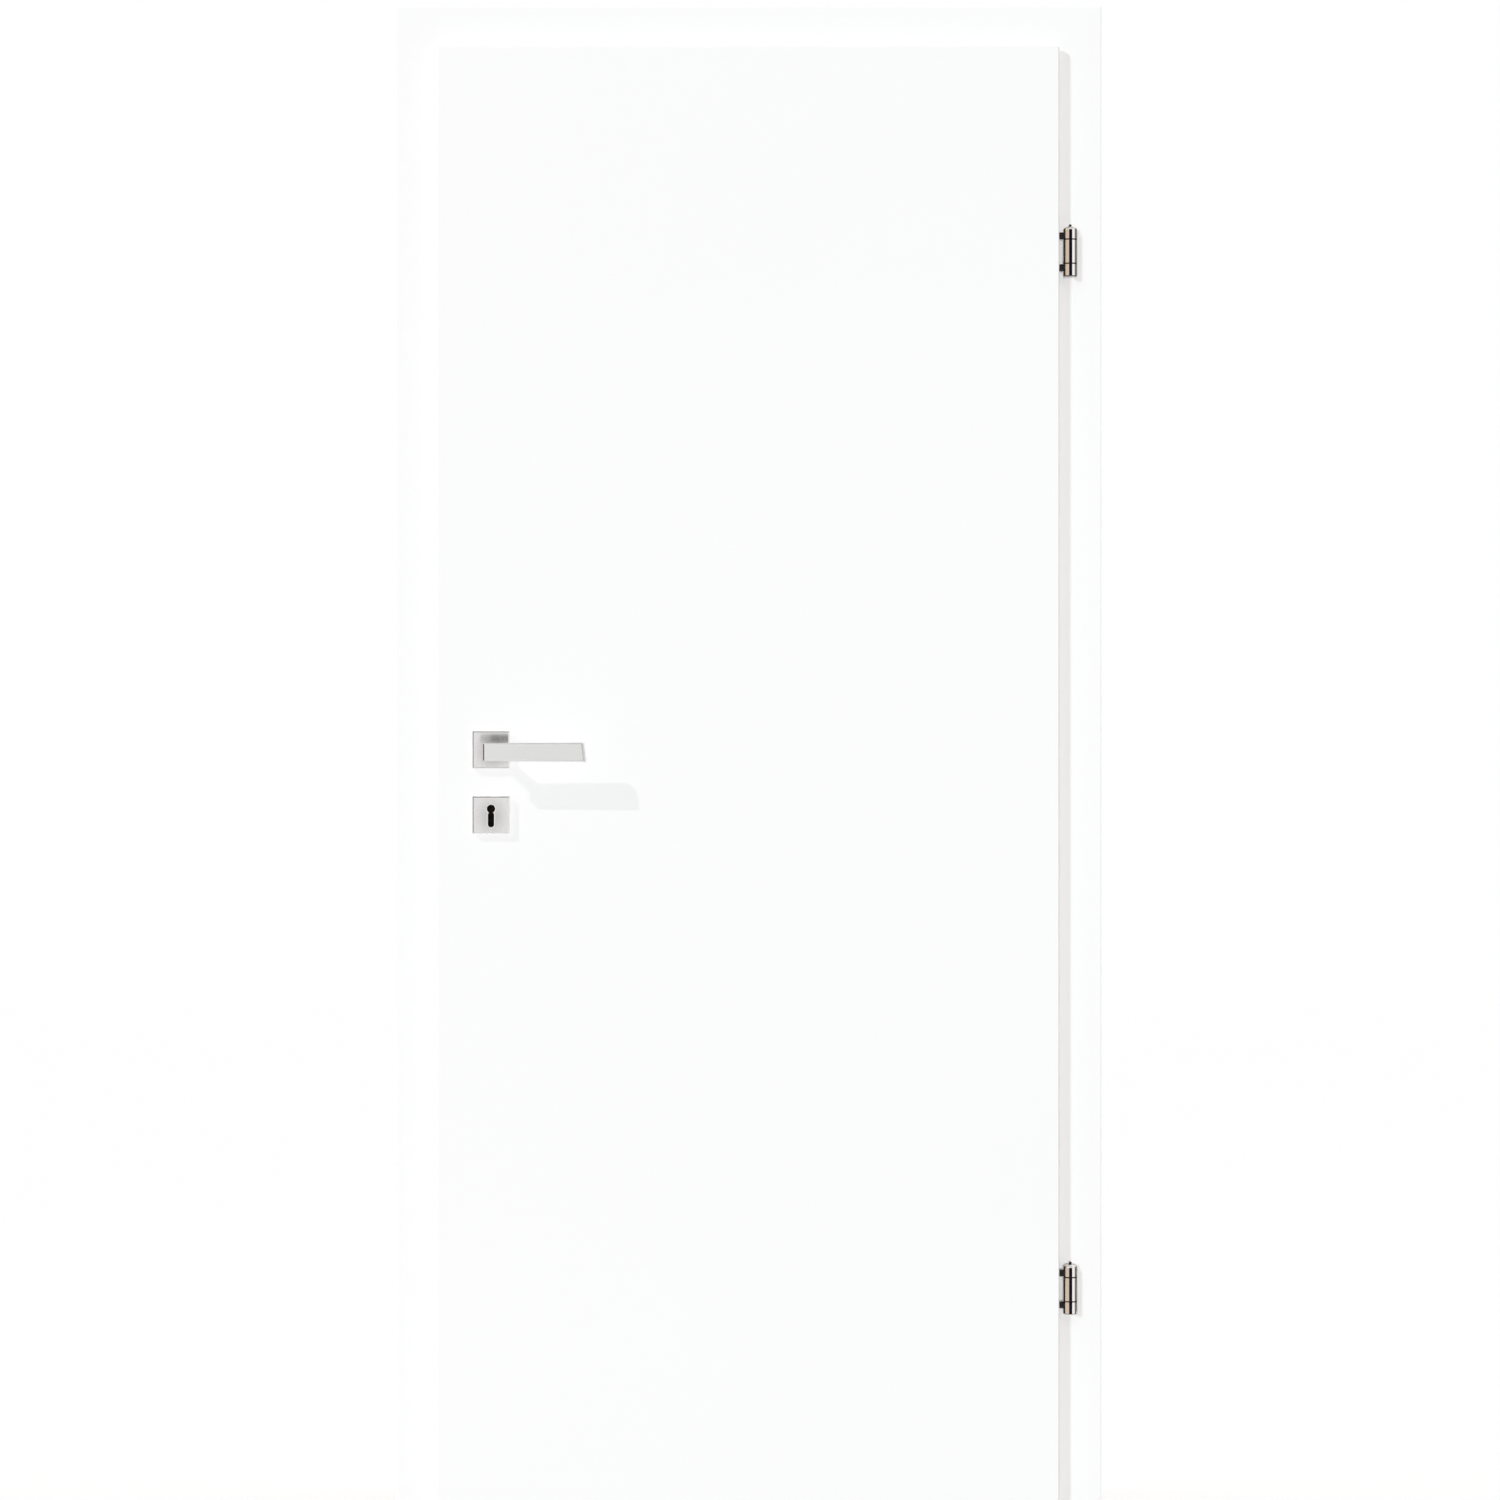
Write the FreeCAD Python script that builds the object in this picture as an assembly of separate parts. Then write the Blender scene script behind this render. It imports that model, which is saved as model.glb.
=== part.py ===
"""Rebated flush entrance door in a wooden wrap-around frame, one STEP file per sub-part.

Millimetres. X runs along the wall from the lock side to the hinge side, Y into the wall from the
room, Z up from the finished floor. X = 0 is the face of the hinge-side lining that the wall holds,
Y = 0 is the middle of the wall, Z = 0 is the floor.
"""
import FreeCAD
import Part
import math
import os

# Leaf
leaf_width = 860.0
leaf_height = 2015.0
leaf_thickness = 40.0
rebate_depth = 25.5
lip_overlap = 13.0
floor_gap = 7.0
moving_gap = 5.0
skin = 3.2
edge_radius = 2.0
stile_width = 60.0
lock_stile_width = 112.0
top_rail_height = 60.0
bottom_rail_height = 90.0

# Frame
wall_thickness = 140.0
lining_thickness = 22.0
stop_width = 15.0
casing_width = 68.0
casing_thickness = 18.0
casing_edge_radius = 3.0
outer_casing_setback = 4.0
tongue_thickness = 5.5
tongue_length = 24.0
groove_clearance = 0.25
groove_end_room = 2.0

# Seal
seal_groove_width = 3.0
seal_groove_depth = 8.0
seal_bulb_width = 7.0
seal_foot_clearance = 0.1
seal_to_leaf = 0.5
seal_wall = 1.0

# Hinges
lower_hinge_from_leaf_bottom = 297.0
upper_hinge_from_leaf_top = 283.0
hinge_axis_from_leaf = 15.5
hinge_axis_from_casing = 13.0
barrel_diameter = 19.0
frame_knuckle_height = 33.0
leaf_knuckle_height = 17.3
knuckle_gap = 0.4
dome_height = 4.0
dome_flat = 5.0
pin_diameter = 8.0
pin_clearance = 0.05
tip_diameter = 3.6
tip_height = 3.6
arm_diameter = 9.5
arm_insert = 22.0
shank_diameter = 10.0

# Lever set
spindle_from_edge = 75.0
spindle_height = 1050.0
spindle_side = 8.0
spindle_fit = 0.05
rosette_side = 51.0
rosette_thickness = 10.0
rosette_bevel = 1.6
rosette_recess = 6.0
neck_diameter = 16.0
neck_clearance = 0.4
lever_reach = 42.0
bar_thickness = 10.5
bar_length = 139.4
bar_height_at_neck = 24.8
bar_height_at_tip = 26.4
bar_end_slant = 3.0
bar_behind_neck = 8.6
bar_drop = 3.4
bar_front_edge = 3.0
key_below_spindle = 90.0
keyhole_circle = 11.5
keyhole_slot = 8.6
keyhole_waist_overlap = 1.5
keyhole_height = 31.2
key_passage_margin = 2.5
keyhole_centre_drop = 1.5
keyhole_bevel = 1.5

# Lock
faceplate_length = 235.0
faceplate_width = 20.0
faceplate_thickness = 3.0
faceplate_above_spindle = 80.0
case_height = 175.0
case_depth = 92.0
case_thickness = 14.0
case_wall = 1.5
case_above_spindle = 45.0
follower_hub = 18.0
follower_clearance = 0.1
latch_height = 30.0
latch_thickness = 11.0
latch_above_spindle = 14.0
bolt_height = 36.0
bolt_thickness = 8.0
bolt_below_spindle = 64.0
bolt_length = 40.0
bolt_fit = 0.3
lock_levers_thickness = 6.0
lock_levers_beside_keyhole = 16.0
lock_levers_above_keyhole = 7.0
lock_levers_below_keyhole = 5.0
strike_length = 200.0
strike_thickness = 2.0
strike_leg = 22.0
strike_flange = 8.0
strike_hole_margin = 1.5
strike_edge = 0.6
strike_pocket_depth = 16.0

# Places that follow from the sizes above
rebate_x = stop_width - lining_thickness
clear_x = -lining_thickness
leaf_body_x = rebate_x - moving_gap
leaf_x = leaf_body_x + lip_overlap
lock_leaf_x = leaf_x - leaf_width
lock_body_x = lock_leaf_x + lip_overlap
lock_rebate_x = lock_body_x - moving_gap
lock_clear_x = lock_rebate_x + stop_width
centre_x = (leaf_x + lock_leaf_x) / 2
lock_wall_x = lock_clear_x - lining_thickness
leaf_bottom = floor_gap
leaf_top = leaf_bottom + leaf_height
leaf_body_top = leaf_top - lip_overlap
rebate_top = leaf_body_top + moving_gap
clear_top = rebate_top - stop_width
wall_room_y = -wall_thickness / 2
wall_outer_y = wall_thickness / 2
casing_front = wall_room_y - casing_thickness
stop_y = casing_front + rebate_depth
outer_face_y = stop_y - moving_gap
lip_back_y = outer_face_y - rebate_depth
room_face_y = outer_face_y - leaf_thickness
lock_y = (lip_back_y + outer_face_y) / 2
spindle_x = lock_leaf_x + spindle_from_edge
key_z = spindle_height - key_below_spindle
hinge_heights = (leaf_bottom + lower_hinge_from_leaf_bottom, leaf_top - upper_hinge_from_leaf_top)
hinge_x = leaf_x + hinge_axis_from_leaf
hinge_y = casing_front - hinge_axis_from_casing
case_top = spindle_height + case_above_spindle
case_bottom = case_top - case_height
case_x = lock_body_x + faceplate_thickness

up = FreeCAD.Vector(0, 0, 1)
into_wall = FreeCAD.Vector(0, 1, 0)
along = FreeCAD.Vector(1, 0, 0)


def box(x0, x1, y0, y1, z0, z1):
    corner = FreeCAD.Vector(min(x0, x1), min(y0, y1), min(z0, z1))
    return Part.makeBox(abs(x1 - x0), abs(y1 - y0), abs(z1 - z0), corner)


def rod(diameter, length, start, direction):
    return Part.makeCylinder(diameter / 2, length, start, direction)


def face_from(points):
    return Part.Face(Part.makePolygon(points + [points[0]]))


def rounded(solid, radius, wanted):
    """Fillet the edges that the test picks."""
    edges = [edge for edge in solid.Edges if wanted(edge)]
    return solid.makeFillet(radius, edges)


def is_along(edge, axis):
    ends = [vertex.Point for vertex in edge.Vertexes]
    if len(ends) < 2:
        return False
    run = ends[1] - ends[0]
    return run.Length > 1e-6 and abs(abs(run.dot(axis)) - run.Length) < 1e-6


def on_y(edge, y):
    return all(abs(vertex.Y - y) < 1e-6 for vertex in edge.Vertexes)


def mirrored(solid):
    """The hinge-side piece as the lock side has it."""
    return solid.mirror(FreeCAD.Vector(centre_x, 0, 0), along)


def mitred_set(profile):
    """Two uprights and a head of one profile, mitred at the top corners.

    The profile is a face of (distance outward from the clear opening, depth) points drawn in XY.
    """
    reach = profile.BoundBox.XMax
    start = profile.BoundBox.XMin
    depth0 = profile.BoundBox.YMin - 1
    depth1 = profile.BoundBox.YMax + 1
    upright = profile.copy()
    upright.translate(FreeCAD.Vector(clear_x, 0, 0))
    upright = upright.extrude(up * (clear_top + reach + 1))
    corner = FreeCAD.Vector(clear_x, depth0, clear_top)
    over = face_from([
        corner + FreeCAD.Vector(start - 5, 0, start - 5),
        corner + FreeCAD.Vector(reach + 5, 0, reach + 5),
        corner + FreeCAD.Vector(start - 5, 0, reach + 5),
    ]).extrude(into_wall * (depth1 - depth0))
    upright = upright.cut(over)
    head = profile.copy()
    head.rotate(FreeCAD.Vector(0, 0, 0), into_wall, -90)
    head.translate(FreeCAD.Vector(lock_clear_x - reach, 0, clear_top))
    head = head.extrude(along * (clear_x - lock_clear_x + 2 * reach))
    lock_corner = FreeCAD.Vector(lock_clear_x, depth0, clear_top)
    keep = face_from([
        lock_corner + FreeCAD.Vector(-start, 0, start),
        lock_corner + FreeCAD.Vector(-reach - 5, 0, reach + 5),
        corner + FreeCAD.Vector(reach + 5, 0, reach + 5),
        corner + FreeCAD.Vector(start, 0, start),
    ]).extrude(into_wall * (depth1 - depth0))
    head = head.common(keep)
    return upright, mirrored(upright), head


def clean(shape):
    solids = shape.Solids
    result = solids[0] if len(solids) == 1 else Part.makeCompound(solids)
    return result


# Frame

def room_casing_profile():
    """Board on the wall with a leg that makes the side of the rebate."""
    inner = stop_width
    leg = lining_thickness
    outer = stop_width + casing_width
    points = [(inner, casing_front), (outer, casing_front), (outer, wall_room_y), (leg, wall_room_y),
              (leg, stop_y), (inner, stop_y)]
    solid = face_from([FreeCAD.Vector(u, y, 0) for u, y in points]).extrude(up)
    solid = rounded(solid, casing_edge_radius, lambda e: is_along(e, up) and on_y(e, casing_front))
    return [face for face in solid.Faces if abs(face.CenterOfMass.z) < 1e-6][0]


def lining_profile():
    """Board that lines the wall opening, grooved for the seal and for the outer casing."""
    body = box(0, lining_thickness, stop_y, wall_outer_y, 0, 1)
    groove0 = seal_groove_start()
    body = body.cut(box(groove0, groove0 + seal_groove_width, stop_y - 1, stop_y + seal_groove_depth, -1, 2))
    tongue0 = tongue_start() - groove_clearance
    tongue1 = tongue0 + tongue_thickness + 2 * groove_clearance
    groove_y = wall_outer_y - tongue_length - groove_end_room
    body = body.cut(box(tongue0, tongue1, groove_y, wall_outer_y + 1, -1, 2))
    return [face for face in body.Faces if abs(face.CenterOfMass.z) < 1e-6][0]


def tongue_start():
    return (lining_thickness - tongue_thickness) / 2 + outer_casing_setback / 2


def seal_groove_start():
    return (stop_width - moving_gap - seal_groove_width) / 2 + seal_wall / 2


def outer_casing_profile():
    """Board on the far side of the wall with the tongue that slides in the lining."""
    inner = outer_casing_setback
    outer = outer_casing_setback + casing_width
    front = wall_outer_y + casing_thickness
    board = box(inner, outer, wall_outer_y, front, 0, 1)
    board = rounded(board, casing_edge_radius, lambda e: is_along(e, up) and on_y(e, front))
    tongue = box(tongue_start(), tongue_start() + tongue_thickness, wall_outer_y - tongue_length,
                 wall_outer_y + 1, 0, 1)
    solid = board.fuse(tongue).removeSplitter()
    return [face for face in solid.Faces if abs(face.CenterOfMass.z) < 1e-6][0]


def seal_profile():
    """Hollow bulb that the leaf closes on, with a foot in the groove of the stop."""
    foot0 = seal_groove_start() + seal_foot_clearance
    foot1 = seal_groove_start() + seal_groove_width - seal_foot_clearance
    middle = (foot0 + foot1) / 2
    half = seal_bulb_width / 2
    height = moving_gap - seal_to_leaf
    bulb = rounded(box(middle - half, middle + half, stop_y - height, stop_y, 0, 1), height * 0.6,
                   lambda e: is_along(e, up) and on_y(e, stop_y - height))
    inside = rounded(box(middle - half + seal_wall, middle + half - seal_wall,
                         stop_y - height + seal_wall, stop_y - seal_wall, -1, 2), height * 0.3,
                     lambda e: is_along(e, up) and on_y(e, stop_y - height + seal_wall))
    foot = box(foot0, foot1, stop_y - seal_wall / 2, stop_y + seal_groove_depth - 1, 0, 1)
    solid = bulb.cut(inside).fuse(foot).removeSplitter()
    return [face for face in solid.Faces if abs(face.CenterOfMass.z) < 1e-6][0]


def strike_windows(grow, depth):
    """Blocks over the latch and the dead bolt on the lock side of the rebate."""
    found = []
    for middle, height, thickness in bolt_places():
        half_z = height / 2 + grow
        half_y = thickness / 2 + grow
        found.append(box(lock_rebate_x - depth, lock_rebate_x + 1, lock_y - half_y, lock_y + half_y,
                         middle - half_z, middle + half_z))
    return found


def bolt_places():
    return [(spindle_height + latch_above_spindle, latch_height, latch_thickness),
            (spindle_height - bolt_below_spindle, bolt_height, bolt_thickness)]


def strike_blank():
    """Angle plate let in round the corner of the casing."""
    middle = (bolt_places()[0][0] + bolt_places()[1][0]) / 2
    z0 = middle - strike_length / 2
    z1 = middle + strike_length / 2
    leg = box(lock_rebate_x - strike_thickness, lock_rebate_x, casing_front, casing_front + strike_leg, z0, z1)
    flange = box(lock_rebate_x - strike_flange, lock_rebate_x, casing_front,
                 casing_front + strike_thickness, z0, z1)
    return leg.fuse(flange).removeSplitter()


def strike_plate():
    plate = strike_blank()
    for window in strike_windows(strike_hole_margin, strike_thickness + 1):
        plate = plate.cut(window)
    corner = [e for e in plate.Edges if is_along(e, up) and on_y(e, casing_front)
              and abs(e.Vertexes[0].X - lock_rebate_x) < 1e-6]
    return plate.makeFillet(strike_edge, corner)


def frame_parts():
    parts = {}
    casing = mitred_set(room_casing_profile())
    lining = mitred_set(lining_profile())
    outer = mitred_set(outer_casing_profile())
    seal = mitred_set(seal_profile())
    sides = ("hinge_side", "lock_side", "head")
    for index, side in enumerate(sides):
        parts["room_casing_" + side] = casing[index]
        parts["lining_" + side] = lining[index]
        parts["outer_casing_" + side] = outer[index]
        parts["seal_" + side] = seal[index]
    lock_casing = parts["room_casing_lock_side"].cut(strike_blank())
    for window in strike_windows(strike_hole_margin, strike_pocket_depth):
        lock_casing = lock_casing.cut(window)
    parts["room_casing_lock_side"] = lock_casing
    for height in hinge_heights:
        hole = rod(shank_diameter, casing_thickness + 1, FreeCAD.Vector(hinge_x, casing_front - 1, height),
                   into_wall)
        parts["room_casing_hinge_side"] = parts["room_casing_hinge_side"].cut(hole)
    parts["strike_plate"] = strike_plate()
    return parts


# Hinges

def turned(points):
    """Turn a profile of (radius, height) points round the hinge axis."""
    profile = face_from([FreeCAD.Vector(hinge_x + radius, hinge_y, z) for radius, z in points])
    return profile.revolve(FreeCAD.Vector(hinge_x, hinge_y, 0), up, 360)


def barrel(z0, z1):
    return rod(barrel_diameter, z1 - z0, FreeCAD.Vector(hinge_x, hinge_y, z0), up)


def leaf_arm(z):
    """Round arm from the barrel into the edge of the leaf."""
    end_x = leaf_x - arm_insert
    start = FreeCAD.Vector(end_x, hinge_y, z)
    return rod(arm_diameter, hinge_x - end_x, start, along)


def hinge_bore():
    return pin_diameter + 2 * pin_clearance


def hinge_levels(middle):
    frame0 = middle - frame_knuckle_height / 2
    frame1 = middle + frame_knuckle_height / 2
    return (frame0 - knuckle_gap - leaf_knuckle_height, frame0 - knuckle_gap, frame0, frame1,
            frame1 + knuckle_gap, frame1 + knuckle_gap + leaf_knuckle_height)


def hinge_top_knuckle(middle):
    """Domed knuckle turned from one profile, with the arm that carries the leaf."""
    levels = hinge_levels(middle)
    z0, z1 = levels[4], levels[5]
    radius = barrel_diameter / 2
    body = turned([(0, z0), (radius, z0), (radius, z1 - dome_height), (dome_flat, z1), (0, z1)])
    body = body.fuse(leaf_arm(z0 + arm_diameter / 2 + knuckle_gap)).removeSplitter()
    bore_top = z1 - dome_height
    body = body.cut(rod(hinge_bore(), bore_top - z0 + 1, FreeCAD.Vector(hinge_x, hinge_y, z0 - 1), up))
    tip_bore = tip_diameter + 2 * neck_clearance
    return body.cut(rod(tip_bore, leaf_knuckle_height + 2, FreeCAD.Vector(hinge_x, hinge_y, z0), up))


def hinge_bottom_knuckle(middle):
    levels = hinge_levels(middle)
    z0, z1 = levels[0], levels[1]
    body = barrel(z0, z1)
    body = body.fuse(leaf_arm(z1 - arm_diameter / 2 - knuckle_gap)).removeSplitter()
    body = body.cut(rod(hinge_bore(), z1 - z0, FreeCAD.Vector(hinge_x, hinge_y, z0 + knuckle_gap * 4), up))
    return body


def hinge_frame_knuckle(middle):
    """Middle knuckle with the shank that is screwed into the casing."""
    levels = hinge_levels(middle)
    body = barrel(levels[2], levels[3])
    shank = rod(shank_diameter, wall_room_y - hinge_y, FreeCAD.Vector(hinge_x, hinge_y, middle), into_wall)
    body = body.fuse(shank).removeSplitter()
    return body.cut(rod(pin_diameter, levels[3] - levels[2] + 2, FreeCAD.Vector(hinge_x, hinge_y, levels[2] - 1),
                        up))


def hinge_pin(middle):
    levels = hinge_levels(middle)
    z0 = levels[0] + knuckle_gap * 6
    shoulder = levels[5] - dome_height - knuckle_gap
    top = levels[5] + tip_height
    wide = pin_diameter / 2
    thin = tip_diameter / 2
    return turned([(0, z0), (wide, z0), (wide, shoulder), (thin, shoulder), (thin, top), (0, top)])


def hinge_parts():
    parts = {}
    for name, middle in zip(("lower", "upper"), hinge_heights):
        parts[name + "_hinge_frame_knuckle"] = hinge_frame_knuckle(middle)
        parts[name + "_hinge_pin"] = hinge_pin(middle)
        parts[name + "_hinge_top_knuckle"] = hinge_top_knuckle(middle)
        parts[name + "_hinge_bottom_knuckle"] = hinge_bottom_knuckle(middle)
    return parts


# Leaf

def keyhole_ends():
    top = key_z - keyhole_centre_drop + keyhole_height / 2
    return top - keyhole_height, top


def keyhole(y0, y1):
    """Round hole over a round-ended slot, with the narrow waist where the two meet."""
    bottom, top = keyhole_ends()
    circle_z = top - keyhole_circle / 2
    low_z = bottom + keyhole_slot / 2
    high_z = top - keyhole_circle + keyhole_waist_overlap - keyhole_slot / 2
    length = y1 - y0
    circle = rod(keyhole_circle, length, FreeCAD.Vector(spindle_x, y0, circle_z), into_wall)
    foot = rod(keyhole_slot, length, FreeCAD.Vector(spindle_x, y0, low_z), into_wall)
    head = rod(keyhole_slot, length, FreeCAD.Vector(spindle_x, y0, high_z), into_wall)
    half = keyhole_slot / 2
    slot = box(spindle_x - half, spindle_x + half, y0, y1, low_z, high_z)
    return circle.fuse([foot, head, slot]).removeSplitter()


def key_passage(y0, y1):
    """Plain slot behind the key rosettes, a little larger than the keyhole."""
    bottom, top = keyhole_ends()
    half = keyhole_circle / 2 + key_passage_margin
    return box(spindle_x - half, spindle_x + half, y0, y1, bottom - key_passage_margin, top + key_passage_margin)


def spindle_hole(y0, y1):
    hole = neck_diameter + 2 * neck_clearance
    return rod(hole, y1 - y0, FreeCAD.Vector(spindle_x, y0, spindle_height), into_wall)


def lock_mortise():
    return box(case_x, case_x + case_depth, lock_y - case_thickness / 2, lock_y + case_thickness / 2,
               case_bottom, case_top)


def faceplate_blank():
    top = spindle_height + faceplate_above_spindle
    bottom = top - faceplate_length
    half = faceplate_width / 2
    blank = box(lock_body_x, case_x, lock_y - half, lock_y + half, bottom, top)
    return rounded(blank, half - 0.01, lambda e: is_along(e, along))


def drilled(solid):
    """Take the lever, key and lock openings out of a piece of the leaf."""
    y0 = room_face_y - 1
    y1 = outer_face_y + 1
    for tool in (spindle_hole(y0, y1), key_passage(y0, y1), lock_mortise(), faceplate_blank()):
        solid = solid.cut(tool)
    return solid


def leaf_parts():
    parts = {}
    inner0 = room_face_y + skin
    inner1 = outer_face_y - skin
    room = box(lock_leaf_x, leaf_x, room_face_y, inner0, leaf_bottom, leaf_top)
    room = rounded(room, edge_radius, lambda e: on_y(e, room_face_y))
    parts["leaf_room_face"] = drilled(room)
    outer = box(lock_body_x, leaf_body_x, inner1, outer_face_y, leaf_bottom, leaf_body_top)
    parts["leaf_outer_face"] = drilled(outer)
    rail_bottom = leaf_body_top - top_rail_height
    core_bottom = leaf_bottom + bottom_rail_height
    inner_hinge_x = leaf_body_x - stile_width
    inner_lock_x = lock_body_x + lock_stile_width
    hinge_stile = box(inner_hinge_x, leaf_body_x, inner0, inner1, leaf_bottom, leaf_body_top)
    hinge_stile = hinge_stile.fuse(box(inner_hinge_x, leaf_x, inner0, lip_back_y, leaf_bottom, leaf_top))
    lock_stile = box(lock_body_x, inner_lock_x, inner0, inner1, leaf_bottom, leaf_body_top)
    lock_stile = lock_stile.fuse(box(lock_leaf_x, inner_lock_x, inner0, lip_back_y, leaf_bottom, leaf_top))
    top_rail = box(inner_lock_x, inner_hinge_x, inner0, inner1, rail_bottom, leaf_body_top)
    top_rail = top_rail.fuse(box(inner_lock_x, inner_hinge_x, inner0, lip_back_y, rail_bottom, leaf_top))
    for middle in hinge_heights:
        levels = hinge_levels(middle)
        for z in (levels[4] + arm_diameter / 2 + knuckle_gap, levels[1] - arm_diameter / 2 - knuckle_gap):
            hinge_stile = hinge_stile.cut(leaf_arm(z))
            parts["leaf_room_face"] = parts["leaf_room_face"].cut(leaf_arm(z))
    parts["leaf_hinge_stile"] = hinge_stile.removeSplitter()
    parts["leaf_lock_stile"] = drilled(lock_stile.removeSplitter())
    parts["leaf_top_rail"] = top_rail.removeSplitter()
    parts["leaf_bottom_rail"] = box(inner_lock_x, inner_hinge_x, inner0, inner1, leaf_bottom, core_bottom)
    parts["leaf_core"] = box(inner_lock_x, inner_hinge_x, inner0, inner1, core_bottom, rail_bottom)
    return parts


# Lock

def lock_levers():
    """Lever pack on the back wall of the case, which the key meets from either side of the door."""
    bottom, top = keyhole_ends()
    half = lock_levers_thickness / 2
    return box(spindle_x - lock_levers_beside_keyhole, case_x + case_depth - case_wall, lock_y - half,
               lock_y + half, bottom - lock_levers_below_keyhole, top + lock_levers_above_keyhole)


def lock_parts():
    parts = {}
    plate = faceplate_blank()
    case = lock_mortise()
    inside = box(case_x, case_x + case_depth - case_wall, lock_y - case_thickness / 2 + case_wall,
                 lock_y + case_thickness / 2 - case_wall, case_bottom + case_wall, case_top - case_wall)
    case = case.cut(inside)
    y0 = lock_y - case_thickness
    y1 = lock_y + case_thickness
    case = case.cut(key_passage(y0, y1))
    hub_hole = follower_hub + 2 * follower_clearance
    case = case.cut(rod(hub_hole, y1 - y0, FreeCAD.Vector(spindle_x, y0, spindle_height), into_wall))
    names = ("latch_bolt", "dead_bolt")
    for name, (middle, height, thickness) in zip(names, bolt_places()):
        half_z = height / 2
        half_y = thickness / 2
        hole = box(lock_body_x - 1, case_x + 1, lock_y - half_y - bolt_fit, lock_y + half_y + bolt_fit,
                   middle - half_z - bolt_fit, middle + half_z + bolt_fit)
        plate = plate.cut(hole)
        bolt = box(lock_body_x, lock_body_x + bolt_length, lock_y - half_y, lock_y + half_y,
                   middle - half_z, middle + half_z)
        parts[name] = bolt
    slope = face_from([
        FreeCAD.Vector(lock_body_x, lock_y - latch_thickness, spindle_height - 50),
        FreeCAD.Vector(lock_body_x + latch_thickness * 0.7, lock_y - latch_thickness, spindle_height - 50),
        FreeCAD.Vector(lock_body_x, lock_y + latch_thickness / 2 - 2, spindle_height - 50),
    ]).extrude(up * 100)
    parts["latch_bolt"] = parts["latch_bolt"].cut(slope)
    parts["lock_faceplate"] = plate
    parts["lock_case"] = case
    parts["lock_levers"] = lock_levers()
    return parts


# Lever set

def rosette_blank(z, sign, surface):
    """Square cover plate with a bevelled front and a hollow back."""
    half = rosette_side / 2
    front = surface + sign * rosette_thickness
    plate = box(spindle_x - half, spindle_x + half, surface, front, z - half, z + half)
    plate = plate.makeChamfer(rosette_bevel, [e for e in plate.Edges if on_y(e, front)])
    wall = rosette_bevel + 1
    hollow = box(spindle_x - half + wall, spindle_x + half - wall, surface, surface + sign * rosette_recess,
                 z - half + wall, z + half - wall)
    return plate.cut(hollow)


def lever_rosette(sign, surface):
    plate = rosette_blank(spindle_height, sign, surface)
    y0 = min(surface, surface + sign * rosette_thickness) - 1
    return plate.cut(spindle_hole(y0, y0 + rosette_thickness + 2))


def key_rosette(sign, surface):
    plate = rosette_blank(key_z, sign, surface)
    y0 = min(surface, surface + sign * rosette_thickness) - 1
    plate = plate.cut(keyhole(y0, y0 + rosette_thickness + 2))
    front = surface + sign * rosette_thickness
    rim = [e for e in plate.Edges if on_y(e, front) and abs(e.CenterOfMass.x - spindle_x) < keyhole_circle
           and abs(e.CenterOfMass.z - key_z) < keyhole_height * 0.7 and e.BoundBox.DiagonalLength < keyhole_height]
    return plate.makeChamfer(keyhole_bevel, rim)


def lever_bar(sign, surface):
    """Flat grip, a little taller at the tip, with a slanted end and softened edges."""
    left = spindle_x - bar_behind_neck
    right = left + bar_length
    middle = spindle_height - bar_drop
    near = bar_height_at_neck / 2
    far = bar_height_at_tip / 2
    y = surface + sign * lever_reach
    outline = face_from([
        FreeCAD.Vector(left, y, middle - near),
        FreeCAD.Vector(right, y, middle - far),
        FreeCAD.Vector(right - bar_end_slant, y, middle + far),
        FreeCAD.Vector(left, y, middle + near),
    ])
    bar = outline.extrude(into_wall * (sign * bar_thickness))
    front = y + sign * bar_thickness
    return rounded(bar, bar_front_edge, lambda e: on_y(e, front))


def lever(sign, surface):
    y = surface + sign * lever_reach
    inner = surface + sign * 1.0
    neck = rod(neck_diameter, abs(y - inner) + bar_front_edge,
               FreeCAD.Vector(spindle_x, inner, spindle_height), into_wall * sign)
    body = lever_bar(sign, surface).fuse(neck).removeSplitter()
    half = spindle_side / 2 + spindle_fit
    socket_end = surface + sign * (lever_reach - 8)
    socket = box(spindle_x - half, spindle_x + half, inner, socket_end, spindle_height - half,
                 spindle_height + half)
    return body.cut(socket)


def lock_follower():
    """Nut in the lock case that the spindle turns."""
    hub_y = lock_y - case_thickness / 2
    hub = rod(follower_hub, case_thickness, FreeCAD.Vector(spindle_x, hub_y, spindle_height), into_wall)
    half = spindle_side / 2 + spindle_fit
    socket = box(spindle_x - half, spindle_x + half, hub_y - 1, hub_y + case_thickness + 1,
                 spindle_height - half, spindle_height + half)
    return hub.cut(socket)


def lever_parts():
    parts = {}
    for name, sign, surface in (("room", -1, room_face_y), ("outer", 1, outer_face_y)):
        parts[name + "_lever_rosette"] = lever_rosette(sign, surface)
        parts[name + "_key_rosette"] = key_rosette(sign, surface)
        parts[name + "_lever"] = lever(sign, surface)
    parts["lock_follower"] = lock_follower()
    half = spindle_side / 2
    inset = lever_reach - 9
    parts["spindle"] = box(spindle_x - half, spindle_x + half, room_face_y - inset, outer_face_y + inset,
                           spindle_height - half, spindle_height + half)
    return parts


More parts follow.
